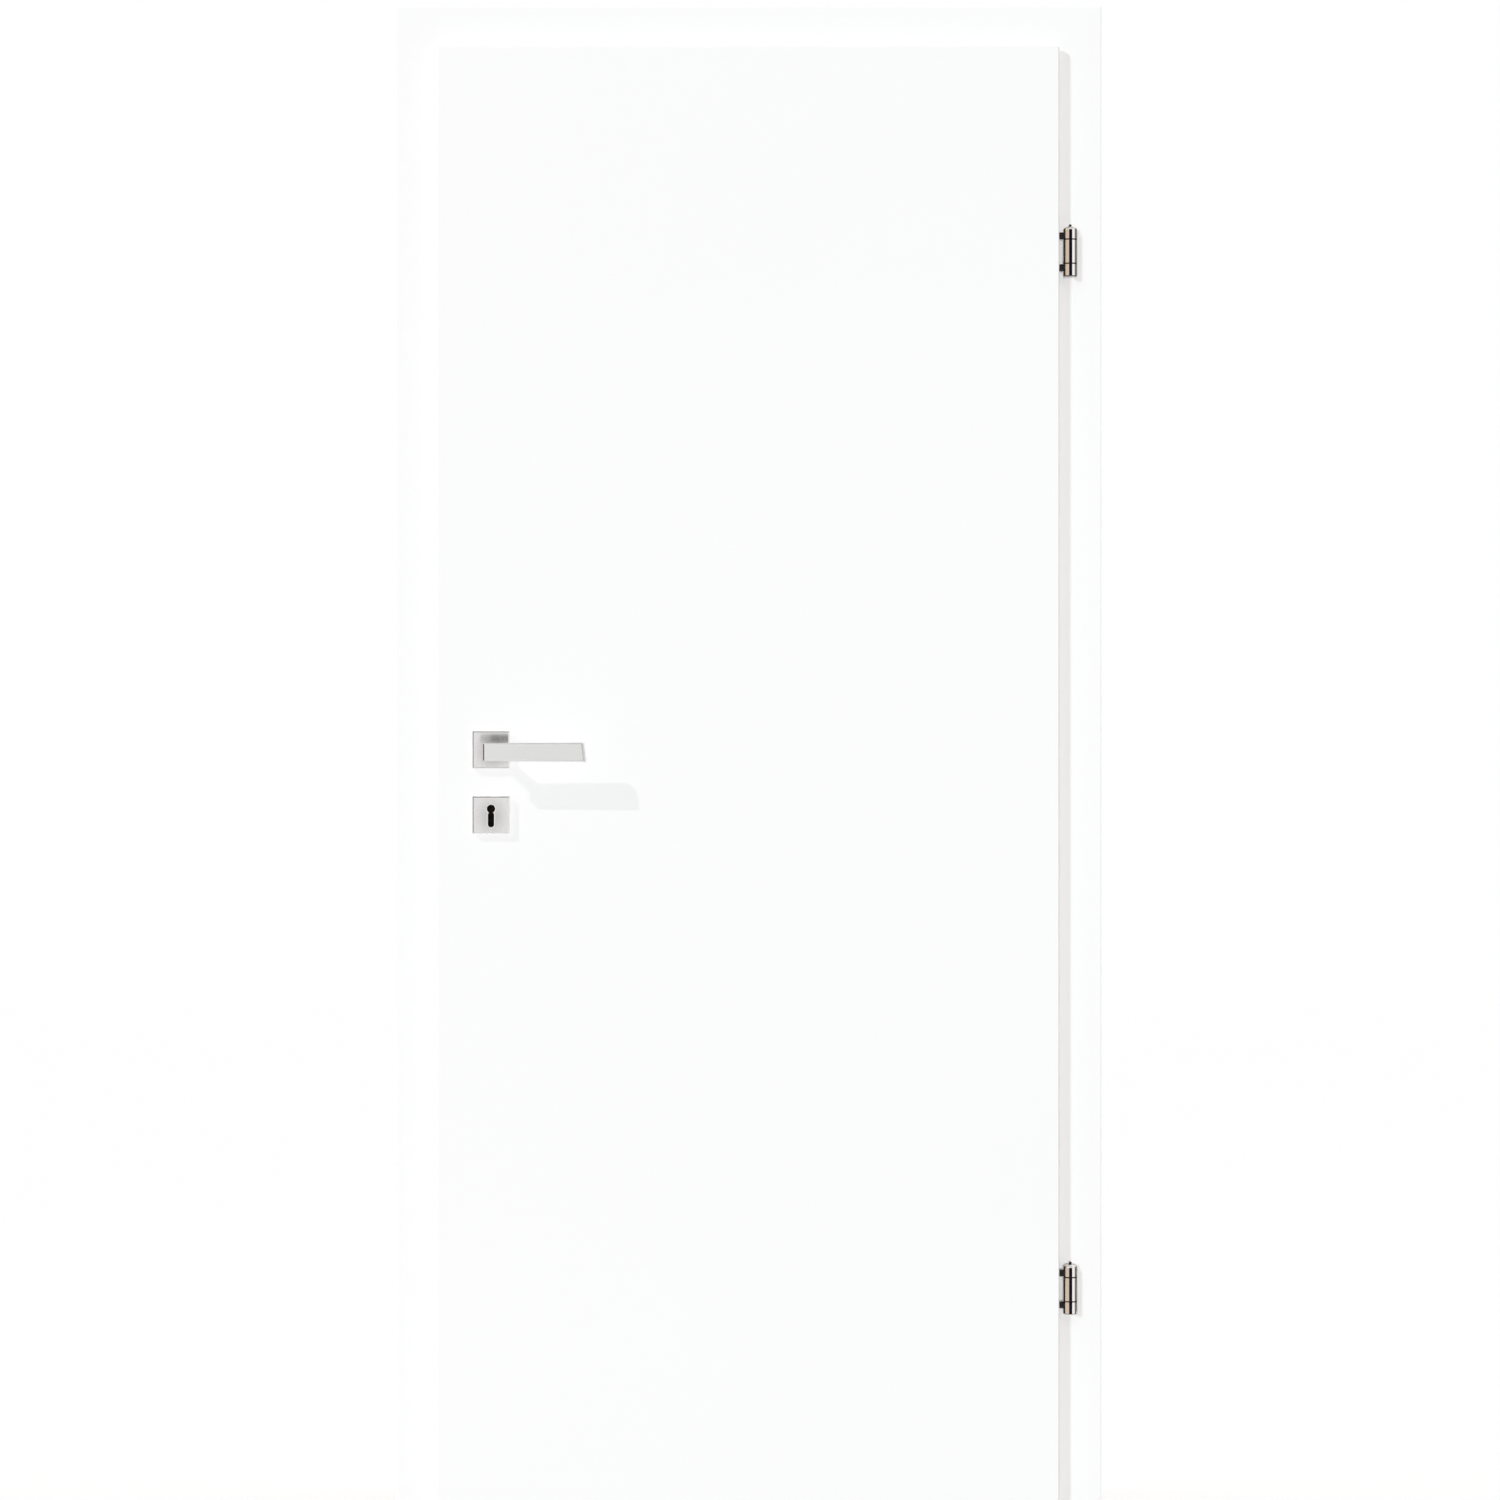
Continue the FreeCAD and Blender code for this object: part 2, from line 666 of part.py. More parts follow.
def main():
    os.makedirs("parts", exist_ok=True)
    parts = {}
    for group in (frame_parts, hinge_parts, leaf_parts, lock_parts, lever_parts):
        parts.update(group())
    for name, shape in parts.items():
        shape = clean(shape)
        shape.exportStep(os.path.join("parts", name + ".step"))
        size = shape.BoundBox
        print("%-26s %2d solids %s x %.1f..%.1f y %.1f..%.1f z %.1f..%.1f  %.1f cm3" % (
            name, len(shape.Solids), "ok" if shape.isValid() else "BAD", size.XMin, size.XMax, size.YMin,
            size.YMax, size.ZMin, size.ZMax, shape.Volume / 1000))
    print(len(parts), "pieces")
    print("hinge axis", hinge_x, hinge_y, "spindle", spindle_x, "rebate", rebate_x, lock_rebate_x)


main()
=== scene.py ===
# %% [markdown]
# # A white entrance door, dressed and lit
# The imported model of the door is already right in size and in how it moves: a rebated leaf in a
# wrap-around frame, two barrel hinges, and a lever on each side. This lesson adds what a drawing of
# solids leaves out: lacquer, brushed and polished metal, rubber, raw board on the faces that the wall
# hides, broken edges that catch the light, turned hinges and small screws.
#
# Loading comes first.

# %% Load the door
import math
import bpy
import bmesh
from mathutils import Matrix, Vector


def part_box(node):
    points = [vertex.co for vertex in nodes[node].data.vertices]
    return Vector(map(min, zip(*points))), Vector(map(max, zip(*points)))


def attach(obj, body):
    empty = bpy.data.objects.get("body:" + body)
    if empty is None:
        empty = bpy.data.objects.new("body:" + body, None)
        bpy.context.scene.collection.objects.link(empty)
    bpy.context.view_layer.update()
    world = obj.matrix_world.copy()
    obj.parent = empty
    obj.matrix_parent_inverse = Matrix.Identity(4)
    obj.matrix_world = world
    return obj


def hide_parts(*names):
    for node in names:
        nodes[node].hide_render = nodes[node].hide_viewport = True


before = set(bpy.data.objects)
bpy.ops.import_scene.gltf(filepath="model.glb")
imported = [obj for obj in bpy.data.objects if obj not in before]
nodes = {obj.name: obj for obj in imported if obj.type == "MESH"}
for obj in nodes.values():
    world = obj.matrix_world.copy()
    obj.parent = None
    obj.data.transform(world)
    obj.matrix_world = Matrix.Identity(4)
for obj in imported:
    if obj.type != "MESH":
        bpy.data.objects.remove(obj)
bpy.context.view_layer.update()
MM = 0.001

# %% Sort the pieces by what they are made of
sides = ("hinge_side", "lock_side", "head")
frame_boards = [part + "_" + side for part in ("room_casing", "lining", "outer_casing") for side in sides]
leaf_boards = [name for name in nodes if name.startswith("leaf_") and name != "leaf_core"]
levers = ["room_lever", "outer_lever"]
rosettes = [name for name in nodes if name.endswith("_rosette")]
print(len(frame_boards), "frame boards,", len(leaf_boards), "leaf boards,", len(rosettes), "rosettes")

# %% [markdown]
# ## Building node trees in few lines
# Every finish below is a tree of shader nodes. These helpers add a node and link it in one call, so that
# the recipes read from top to bottom.

# %% Helpers for node trees
def connect(tree, value, socket):
    """Link a socket, or write a plain number or colour into it."""
    if isinstance(value, bpy.types.NodeSocket):
        tree.links.new(value, socket)
    else:
        socket.default_value = value


def add(tree, kind, settings=None, **inputs):
    node = tree.nodes.new("ShaderNode" + kind)
    for key, value in (settings or {}).items():
        setattr(node, key, value)
    for key, value in inputs.items():
        socket = node.inputs[int(key[1:])] if key[1:].isdigit() else node.inputs[key.replace("_", " ")]
        connect(tree, value, socket)
    return node


def maths(tree, operation, first, second=0.0, third=0.0):
    return add(tree, "Math", {"operation": operation}, i0=first, i1=second, i2=third).outputs[0]


def remap(tree, value, low, high, to_low=0.0, to_high=1.0):
    return add(tree, "MapRange", {"clamp": True}, Value=value, From_Min=low, From_Max=high, To_Min=to_low,
               To_Max=to_high).outputs[0]


def noise(tree, place, scale, detail=2.0, roughness=0.5):
    return add(tree, "TexNoise", Vector=place, Scale=scale, Detail=detail, Roughness=roughness).outputs["Fac"]


def blend(tree, mask, first, second):
    return add(tree, "Mix", {"data_type": "RGBA"}, i0=mask, i6=first, i7=second).outputs[2]


def bump(tree, height, strength, depth):
    return add(tree, "Bump", Strength=strength, Distance=depth, Height=height).outputs[0]


def object_place(tree):
    return add(tree, "TexCoord").outputs["Object"]

# %% [markdown]
# ## Effects that several finishes share
# A node group is a small machine with named inputs and outputs, built once and placed in each material with
# its own values. The groups here put out heights, masks and values only. The shader stays in the material,
# where its plain numbers can be read.

# %% A new group with its sockets
def new_group(name, inputs, outputs):
    group = bpy.data.node_groups.new(name, "ShaderNodeTree")
    for label, kind, default in inputs:
        socket = group.interface.new_socket(label, in_out="INPUT", socket_type="NodeSocket" + kind)
        socket.default_value = default
    for label in outputs:
        group.interface.new_socket(label, in_out="OUTPUT", socket_type="NodeSocketFloat")
    return group, group.nodes.new("NodeGroupInput").outputs, group.nodes.new("NodeGroupOutput").inputs


def place_group(tree, group, **inputs):
    node = tree.nodes.new("ShaderNodeGroup")
    node.node_tree = group
    for key, value in inputs.items():
        connect(tree, value, node.inputs[key.replace("_", " ")])
    return node.outputs

# %% [markdown]
# ## Sprayed lacquer
# Sprayed lacquer is never quite flat. The drops leave a faint orange peel of a millimetre or two, over
# slower waves of the board below, and handling leaves patches a little glossier or duller. Three noises
# of different size give the peel height, the gloss patches and a slow drift of tone.

# %% Lacquer group
def make_lacquer_group():
    group, given, out = new_group(
        "lacquer_surface",
        [("Peel Size", "Float", 700.0), ("Patch Size", "Float", 3.0), ("Drift Size", "Float", 0.9)],
        ["Height", "Gloss Change", "Drift"])
    place = object_place(group)
    peel = noise(group, place, given["Peel Size"], 2.0, 0.55)
    wave = noise(group, place, maths(group, "MULTIPLY", given["Peel Size"], 0.08), 1.0, 0.4)
    patch = noise(group, place, given["Patch Size"], 3.0, 0.6)
    drift = noise(group, place, given["Drift Size"], 1.0, 0.4)
    height = maths(group, "MULTIPLY_ADD", wave, 0.6, maths(group, "MULTIPLY", peel, 0.4))
    connect(group, height, out["Height"])
    connect(group, remap(group, patch, 0.35, 0.65, -1.0, 1.0), out["Gloss Change"])
    connect(group, remap(group, drift, 0.35, 0.65), out["Drift"])
    return group


lacquer_group = make_lacquer_group()
print("lacquer group:", [item.name for item in lacquer_group.interface.items_tree])

# %% [markdown]
# ## Brushed grain
# Satin steel is rubbed with an abrasive belt, so its scratches run one way. Noise squeezed hard across
# that way looks like them. The stretch is an input, because a lever is rubbed along its length, a plate
# upright, and a turned barrel round its axis. A slower noise gives the greasy smudges that hands leave.

# %% Brushed group
def make_brushed_group():
    group, given, out = new_group(
        "brushed_grain",
        [("Stretch", "Vector", (60.0, 4000.0, 4000.0)), ("Smudge Size", "Float", 30.0)],
        ["Height", "Streak", "Band", "Smudge"])
    place = object_place(group)
    squeezed = add(group, "VectorMath", {"operation": "MULTIPLY"}, i0=place, i1=given["Stretch"]).outputs[0]
    fine = noise(group, squeezed, 1.0, 3.0, 0.6)
    broad = noise(group, squeezed, 0.18, 2.0, 0.5)
    band = noise(group, squeezed, 0.035, 1.0, 0.4)
    smudge = noise(group, place, given["Smudge Size"], 3.0, 0.55)
    connect(group, fine, out["Height"])
    streak = maths(group, "MULTIPLY_ADD", broad, 0.5, maths(group, "MULTIPLY", fine, 0.5))
    connect(group, streak, out["Streak"])
    connect(group, remap(group, band, 0.35, 0.65), out["Band"])
    connect(group, remap(group, smudge, 0.42, 0.7), out["Smudge"])
    return group


brushed_group = make_brushed_group()
print("brushed group:", [item.name for item in brushed_group.interface.items_tree])

# %% [markdown]
# ## Worn edges
# Where a board or plate has a corner, cloths and hands thin the finish. Pointiness, which the Geometry
# node measures from the mesh, rises above one half on such edges. Broken up by noise it becomes a mask
# that looks like real wear.

# %% Edge wear group
def make_edge_group():
    group, given, out = new_group(
        "edge_wear",
        [("Start", "Float", 0.53), ("End", "Float", 0.60), ("Break Size", "Float", 120.0)],
        ["Mask"])
    point = add(group, "NewGeometry").outputs["Pointiness"]
    edge = remap(group, point, given["Start"], given["End"])
    broken = remap(group, noise(group, object_place(group), given["Break Size"], 4.0, 0.65), 0.4, 0.6)
    connect(group, maths(group, "MULTIPLY", edge, broken), out["Mask"])
    return group


edge_group = make_edge_group()
print("edge group:", [item.name for item in edge_group.interface.items_tree])

# %% [markdown]
# ## Which way a face looks
# The frame's boards are lacquered where people see them and raw where the wall covers them. Both kinds
# of face belong to one solid, so the finish is chosen by the side that a face looks to. The Normal output
# of Texture Coordinate turns with the object, so it would hold on a moving board too.

# %% Facing group
def make_facing_group():
    group, given, out = new_group("facing", [("Direction", "Vector", (1.0, 0.0, 0.0))], ["Mask"])
    normal = add(group, "TexCoord").outputs["Normal"]
    dot = add(group, "VectorMath", {"operation": "DOT_PRODUCT"}, i0=normal, i1=given["Direction"])
    connect(group, remap(group, dot.outputs["Value"], 0.90, 0.97), out["Mask"])
    return group


facing_group = make_facing_group()
print("facing group:", [item.name for item in facing_group.interface.items_tree])

# %% [markdown]
# Levers and rosettes need the opposite: a mask of all that doesn't look to the room or the landing. These
# narrow faces are darkened as painted shade, for faces that turn from the front. A second mask takes in the
# faces that look left and, by half, those that look right: the ends of a lever get the darkest painted shade.

# %% Painted side shade group
def make_side_shade_group():
    group, given, out = new_group("painted_side_shade", [("Start", "Float", 0.90), ("End", "Float", 0.72)],
                                  ["Mask", "End Shade"])
    normal = add(group, "TexCoord").outputs["Normal"]
    parts = add(group, "SeparateXYZ", Vector=normal).outputs
    facing = maths(group, "ABSOLUTE", parts["Y"])
    connect(group, remap(group, facing, given["Start"], given["End"]), out["Mask"])
    # Painted shade for the ends: full on faces that look left, half on those that look right.
    left = remap(group, maths(group, "MULTIPLY", parts["X"], -1.0), 0.2, 0.4)
    right = remap(group, parts["X"], 0.2, 0.4, 0.0, 0.5)
    connect(group, maths(group, "MAXIMUM", left, right), out["End Shade"])
    return group


side_shade_group = make_side_shade_group()
print("narrow face group:", [item.name for item in side_shade_group.interface.items_tree])

# %% [markdown]
# ## Raw chipboard
# Chipboard is pressed from flakes. Cells of a Voronoi texture, stretched a little, give flakes of
# different browns, and a fine noise gives the fibres on them. As a group it serves the core of the leaf
# and the backs of the frame boards.

# %% Chipboard group
def make_chip_group():
    group, given, out = new_group("pressed_chips", [("Flake Size", "Float", 220.0)], ["Flake", "Fibre"])
    place = object_place(group)
    longer = add(group, "VectorMath", {"operation": "MULTIPLY"}, i0=place, i1=(1.0, 1.0, 0.45)).outputs[0]
    cells = add(group, "TexVoronoi", {"feature": "F1"}, Vector=longer, Scale=given["Flake Size"],
                Randomness=1.0)
    shade = add(group, "SeparateColor", Color=cells.outputs["Color"]).outputs[0]
    fibre = noise(group, place, 900.0, 4.0, 0.7)
    flake = maths(group, "MULTIPLY_ADD", shade, 0.7, maths(group, "MULTIPLY", fibre, 0.3))
    connect(group, flake, out["Flake"])
    connect(group, fibre, out["Fibre"])
    return group


chip_group = make_chip_group()
print("chip group:", [item.name for item in chip_group.interface.items_tree])

# %% [markdown]
# ## A material and its shader
# Each material starts from one Principled shader. Numbers that are the same all over a surface are
# written on the shader's own sockets.

# %% Material helper
def new_material(name, **sockets):
    material = bpy.data.materials.new(name)
    material.use_nodes = True
    tree = material.node_tree
    tree.nodes.clear()
    shader = tree.nodes.new("ShaderNodeBsdfPrincipled")
    connect(tree, shader.outputs[0], tree.nodes.new("ShaderNodeOutputMaterial").inputs["Surface"])
    for key, value in sockets.items():
        shader.inputs[key.replace("_", " ")].default_value = value
    return material, tree, shader.inputs


def dress(names, material):
    """Give CAD nodes one material in place of the plain one that they came with."""
    for name in names:
        nodes[name].data.materials.clear()
        nodes[name].data.materials.append(material)

# %% [markdown]
# ## White lacquered boards
# The tone drifts by under one part in a hundred, the peel is a few hundredths of a millimetre high, and
# the sheen comes from a roughness near 0.4, as on satin lacquer. Where a direction is given as raw, the
# faces that look there show chipboard.

# %% Lacquer recipe
LACQUER_ROUGHNESS = 0.40
LACQUER = (0.948, 0.948, 0.947, 1.0)
LACQUER_DRIFTED = (0.943, 0.943, 0.942, 1.0)
LACQUER_WORN = (0.88, 0.87, 0.84, 1.0)
FLAKE_LIGHT = (0.62, 0.47, 0.30, 1.0)
FLAKE_DARK = (0.36, 0.25, 0.15, 1.0)


def make_lacquer(name, raw_direction=None):
    material, tree, shader = new_material(name, Specular_IOR_Level=0.35)
    surface = place_group(tree, lacquer_group)
    worn = place_group(tree, edge_group, Start=0.56, End=0.72)["Mask"]
    colour = blend(tree, surface["Drift"], LACQUER, LACQUER_DRIFTED)
    colour = blend(tree, maths(tree, "MULTIPLY", worn, 0.25), colour, LACQUER_WORN)
    rough = maths(tree, "MULTIPLY_ADD", surface["Gloss Change"], 0.03, LACQUER_ROUGHNESS)
    height = surface["Height"]
    if raw_direction:
        chips = place_group(tree, chip_group)
        raw = place_group(tree, facing_group, Direction=raw_direction)["Mask"]
        colour = blend(tree, raw, colour, blend(tree, chips["Flake"], FLAKE_DARK, FLAKE_LIGHT))
        rough = maths(tree, "MAXIMUM", rough, maths(tree, "MULTIPLY", raw, 0.85))
        height = maths(tree, "MULTIPLY_ADD", maths(tree, "MULTIPLY", raw, chips["Fibre"]), 1.5, height)
    connect(tree, colour, shader["Base Color"])
    connect(tree, rough, shader["Roughness"])
    connect(tree, bump(tree, height, 0.22, 0.12 * MM), shader["Normal"])
    return material

# %% Lacquer on the frame and the leaf
TO_WALL = {"hinge_side": (1.0, 0.0, 0.0), "lock_side": (-1.0, 0.0, 0.0), "head": (0.0, 0.0, 1.0)}
room_casing_lacquer = make_lacquer("room_casing_lacquer", (0.0, 1.0, 0.0))
outer_casing_lacquer = make_lacquer("outer_casing_lacquer", (0.0, -1.0, 0.0))
for side in sides:
    dress(["room_casing_" + side], room_casing_lacquer)
    dress(["outer_casing_" + side], outer_casing_lacquer)
    dress(["lining_" + side], make_lacquer("lining_lacquer_" + side, TO_WALL[side]))
dress(leaf_boards, make_lacquer("leaf_lacquer"))
print("lacquered:", len(frame_boards) + len(leaf_boards), "boards")

# %% [markdown]
# ## The chipboard core
# The core can't be seen on the finished leaf, but a part that is taken apart should show what it is.

# %% Core material
def make_core_board():
    material, tree, shader = new_material("core_chipboard", Roughness=0.85)
    chips = place_group(tree, chip_group)
    connect(tree, blend(tree, chips["Flake"], FLAKE_DARK, FLAKE_LIGHT), shader["Base Color"])
    connect(tree, bump(tree, chips["Fibre"], 0.5, 0.3 * MM), shader["Normal"])
    return material


dress(["leaf_core"], make_core_board())

# %% [markdown]
# ## Satin and polished metal
# All metals here are one recipe with other numbers: two tones blended by the streaks, a slow band that
# shifts the tint a little, a roughness that rises in streaks and smudges, and a bump from the grain. A
# polished hinge has almost no grain and a low roughness. Specular Tint on a metal colours only the rim,
# where nickel turns warm and darker.

# %% Metal recipe
# Painted shade round a rosette's centre, and a painted highlight on the keyhole's cut.
CENTRE_SHADE_TONE = (0.66, 0.645, 0.64, 1.0)
CUT_HIGHLIGHT_TONE = (0.96, 0.95, 0.94, 1.0)
CENTRE_SHADE_FROM, CENTRE_SHADE_TO = 6 * MM, 24 * MM
KEYHOLE_REACH, PLATE_RIM = 17 * MM, 19 * MM


def distance_from(tree, centre):
    """How far a point is from a line through centre that runs from the room to the landing."""
    apart = add(tree, "VectorMath", {"operation": "SUBTRACT"}, i0=object_place(tree), i1=centre).outputs[0]
    flat = add(tree, "VectorMath", {"operation": "MULTIPLY"}, i0=apart, i1=(1.0, 0.0, 0.8)).outputs[0]
    return add(tree, "VectorMath", {"operation": "LENGTH"}, i0=flat).outputs["Value"]


def make_metal(name, tones, roughness, spread, stretch, grain_depth, smudge=0.05, rim=(1, 1, 1, 1),
               narrow=None, centre=None, keyhole=False, ends=None):
    """A metal of three tones: bright and dark ones that the streaks blend, and the tint of the slow band.

    Around centre the plate is darkened with painted shade, near the lever's neck and the keyhole. Narrow
    faces and ends are darkened with painted shade, and on a plate with a keyhole the cut's own edge gets a
    painted highlight."""
    bright, dark, tint = tones
    material, tree, shader = new_material(name, Metallic=1.0, Specular_Tint=rim)
    grain = place_group(tree, brushed_group, Stretch=stretch)
    worn = place_group(tree, edge_group, Start=0.55, End=0.68)["Mask"]
    colour = blend(tree, grain["Streak"], dark, bright)
    colour = blend(tree, maths(tree, "MULTIPLY", grain["Band"], 0.5), colour, tint)
    colour = blend(tree, maths(tree, "MULTIPLY", worn, 0.2), colour, bright)
    # Painted shade: the plate darkens towards centre, round the lever's neck and the keyhole.
    if centre:
        away = distance_from(tree, centre)
        colour = blend(tree, remap(tree, away, CENTRE_SHADE_FROM, CENTRE_SHADE_TO, 0.85, 0.0), colour, CENTRE_SHADE_TONE)
    # Painted shade on the narrow faces that turn from the front.
    if narrow:
        side = place_group(tree, side_shade_group)["Mask"]
        # Painted highlight: the keyhole's chamfer is bright and less metal.
        if keyhole:
            cut = maths(tree, "MULTIPLY", side, remap(tree, away, PLATE_RIM, KEYHOLE_REACH))
            side = maths(tree, "SUBTRACT", side, cut)
            colour = blend(tree, cut, colour, CUT_HIGHLIGHT_TONE)
            connect(tree, maths(tree, "MULTIPLY_ADD", cut, -0.75, 1.0), shader["Metallic"])
        colour = blend(tree, side, colour, narrow)
    # Painted shade on the ends, darkest on those that look left.
    if ends:
        colour = blend(tree, place_group(tree, side_shade_group)["End Shade"], colour, ends)
    rough = maths(tree, "MULTIPLY_ADD", grain["Streak"], spread, roughness)
    rough = maths(tree, "MULTIPLY_ADD", grain["Smudge"], smudge, rough)
    connect(tree, colour, shader["Base Color"])
    connect(tree, rough, shader["Roughness"])
    connect(tree, bump(tree, grain["Height"], 0.3, grain_depth), shader["Normal"])
    return material


ALONG_X = (14.0, 2200.0, 2200.0)
ALONG_Z = (2200.0, 2200.0, 30.0)
ROUND_Z = (60.0, 60.0, 2500.0)
EVEN = (90.0, 90.0, 90.0)

# %% Metals of the lever set and the lock
LEVER_TONES = (0.95, 0.95, 0.94, 1), (0.84, 0.84, 0.83, 1), (0.90, 0.90, 0.88, 1)
ROSE_TONES = (0.97, 0.965, 0.96, 1), (0.86, 0.85, 0.85, 1), (0.90, 0.87, 0.87, 1)
PLATE_TONES = (0.80, 0.80, 0.79, 1), (0.68, 0.68, 0.67, 1), (0.74, 0.73, 0.72, 1)
BOLT_TONES = (0.78, 0.78, 0.77, 1), (0.64, 0.64, 0.63, 1), (0.70, 0.69, 0.67, 1)
ZINC_TONES = (0.68, 0.69, 0.70, 1), (0.48, 0.49, 0.51, 1), (0.62, 0.60, 0.52, 1)
# The lever's narrow faces and ends take painted shade tones.
satin_lever = make_metal("satin_steel_lever", LEVER_TONES, 0.20, 0.06, ALONG_X, 0.006 * MM, 0.03,
                         narrow=(0.84, 0.84, 0.83, 1), ends=(0.22, 0.22, 0.22, 1))


# Each rosette gets painted shade round its centre and on its narrow faces.
def rose_metal(kind, keyhole):
    low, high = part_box("room_" + kind + "_rosette")
    centre = ((low.x + high.x) / 2, 0.0, (low.z + high.z) / 2 - 2 * MM)
    return make_metal("satin_steel_" + kind + "_rosette", ROSE_TONES, 0.20, 0.06, ALONG_Z, 0.006 * MM, 0.03,
                      narrow=(0.80, 0.79, 0.78, 1), centre=centre, keyhole=keyhole)


satin_plate = make_metal("satin_steel_plate", PLATE_TONES, 0.26, 0.10, ALONG_Z, 0.012 * MM)
bolt_steel = make_metal("bright_bolt_steel", BOLT_TONES, 0.18, 0.12, ALONG_X, 0.010 * MM)
zinc_steel = make_metal("zinc_plated_steel", ZINC_TONES, 0.36, 0.18, EVEN, 0.020 * MM)
dress(levers, satin_lever)
for kind, keyhole in (("lever", False), ("key", True)):
    dress([name for name in rosettes if kind + "_rosette" in name], rose_metal(kind, keyhole))
lock_metals = ((["lock_faceplate", "strike_plate"], satin_plate), (["latch_bolt", "dead_bolt"], bolt_steel),
               (["lock_case", "lock_follower", "spindle"], zinc_steel))
for names, metal in lock_metals:
    dress(names, metal)
print("metal on", len(levers) + len(rosettes) + sum(len(pair[0]) for pair in lock_metals), "nodes")

# %% [markdown]
# ## The dark levers behind the keyhole
# What shows through the keyhole is nearly black with a brown glint. The levers are blackened, greased steel,
# painted near black as shade for the dark inside of the lock, and their brown smears are painted glints. It
# is a dark paint-like base with a little gloss, so it isn't a metal that would mirror the room.

# %% Blackened steel painted as shade
BLACKENED_AS_SHADE = (0.002, 0.002, 0.002, 1.0)
GREASE_AS_GLINT = (0.022, 0.012, 0.005, 1.0)


def make_dark_lock_steel():
    material, tree, shader = new_material("greased_steel", Specular_IOR_Level=0.12)
    grease_glint = remap(tree, noise(tree, object_place(tree), 160.0, 4.0, 0.6), 0.4, 0.7)
    connect(tree, blend(tree, grease_glint, BLACKENED_AS_SHADE, GREASE_AS_GLINT), shader["Base Color"])
    connect(tree, remap(tree, grease_glint, 0.0, 1.0, 0.5, 0.3), shader["Roughness"])
    connect(tree, bump(tree, grease_glint, 0.4, 0.1 * MM), shader["Normal"])
    return material


dress(["lock_levers"], make_dark_lock_steel())

# %% [markdown]
# ## Rubber seal
# The seal in the stop is a pale, soft, matt plastic with fine pores and a bloom of dust.

# %% Seal material
SEAL_GREY = (0.62, 0.62, 0.61, 1.0)
SEAL_DUSTY = (0.74, 0.73, 0.70, 1.0)


def make_seal_rubber():
    material, tree, shader = new_material("seal_rubber")
    place = object_place(tree)
    pores = noise(tree, place, 1500.0, 3.0, 0.6)
    dust = remap(tree, noise(tree, place, 25.0, 4.0, 0.6), 0.4, 0.7, 0.0, 0.35)
    connect(tree, blend(tree, dust, SEAL_GREY, SEAL_DUSTY), shader["Base Color"])
    connect(tree, remap(tree, pores, 0.3, 0.7, 0.55, 0.75), shader["Roughness"])
    connect(tree, bump(tree, pores, 0.4, 0.05 * MM), shader["Normal"])
    return material


dress(["seal_" + side for side in sides], make_seal_rubber())

# %% [markdown]
# ## Broken edges
# A sharp corner on a model has no width, so it never catches the light. Real boards and plates have their
# edges broken. A Weld modifier joins the corners that the import left split, a Bevel rounds every edge
# that turns by more than 30 degrees, and Weighted Normal keeps the large flat faces flat in the shading.

# %% Bevel the solids
def keep_faces_flat(piece):
    shade = piece.modifiers.new("flat_faces", "WEIGHTED_NORMAL")
    shade.mode = "FACE_AREA"
    shade.weight = 100
    shade.keep_sharp = True


def break_edges(node, width):
    node.data.shade_smooth()
    weld = node.modifiers.new("weld", "WELD")
    weld.merge_threshold = 0.01 * MM
    bevel = node.modifiers.new("broken_edges", "BEVEL")
    bevel.width = width
    bevel.segments = 2
    bevel.limit_method = "ANGLE"
    bevel.angle_limit = math.radians(30)
    keep_faces_flat(node)


small_metal = levers + rosettes + ["strike_plate", "lock_faceplate", "latch_bolt", "dead_bolt", "spindle"]
for names, width in ((frame_boards, 0.2 * MM), (leaf_boards, 0.3 * MM), (small_metal, 0.25 * MM)):
    for name in names:
        break_edges(nodes[name], width)
print("edges broken on", sum(1 for node in nodes.values() if node.modifiers), "solids")

# %% [markdown]
# ## Turning a profile
# Hinge barrels, pins and screws are made on a lathe. In code a lathe is a profile of radius and height
# that is stepped round an axis. Rounding the profile's corners first gives the soft rims that polish
# leaves, and costs only a few rings.

# %% Lathe helpers
def soften(points, steps=4):
    """Round the corners of a closed profile. Each point is (radius, height, corner radius)."""
    result = []
    count = len(points)
    for index, (r, z, corner) in enumerate(points):
        here = Vector((r, z))
        before = Vector(points[index - 1][:2]) - here
        after = Vector(points[(index + 1) % count][:2]) - here
        if corner == 0 or before.length == 0 or after.length == 0:
            result.append((r, z))
            continue
        reach = min(corner, before.length * 0.49, after.length * 0.49)
        start = here + before.normalized() * reach
        end = here + after.normalized() * reach
        for step in range(steps + 1):
            t = step / steps
            spot = start * (1 - t) ** 2 + here * 2 * t * (1 - t) + end * t ** 2
            result.append((spot.x, spot.y))
    return result


BARREL_STEPS = 96
ROD_STEPS = 48


def turned_shell(profile, origin, axis, segments=BARREL_STEPS):
    """Vertices and faces of a closed profile turned round an axis through origin."""
    axis = Vector(axis).normalized()
    side = axis.orthogonal().normalized()
    other = axis.cross(side)
    rings = []
    vertices = []
    for r, z in profile:
        middle = Vector(origin) + axis * z
        if r < 1e-7:
            rings.append([len(vertices)] * segments)
            vertices.append(middle)
            continue
        rings.append(range(len(vertices), len(vertices) + segments))
        for step in range(segments):
            turn = 2 * math.pi * step / segments
            vertices.append(middle + side * (r * math.cos(turn)) + other * (r * math.sin(turn)))
    faces = []
    for index in range(len(rings)):
        low, high = rings[index - 1], rings[index]
        for step in range(segments):
            corner = (low[step], low[(step + 1) % segments], high[(step + 1) % segments], high[step])
            face = tuple(dict.fromkeys(corner))
            if len(face) > 2:
                faces.append(face)
    return vertices, faces


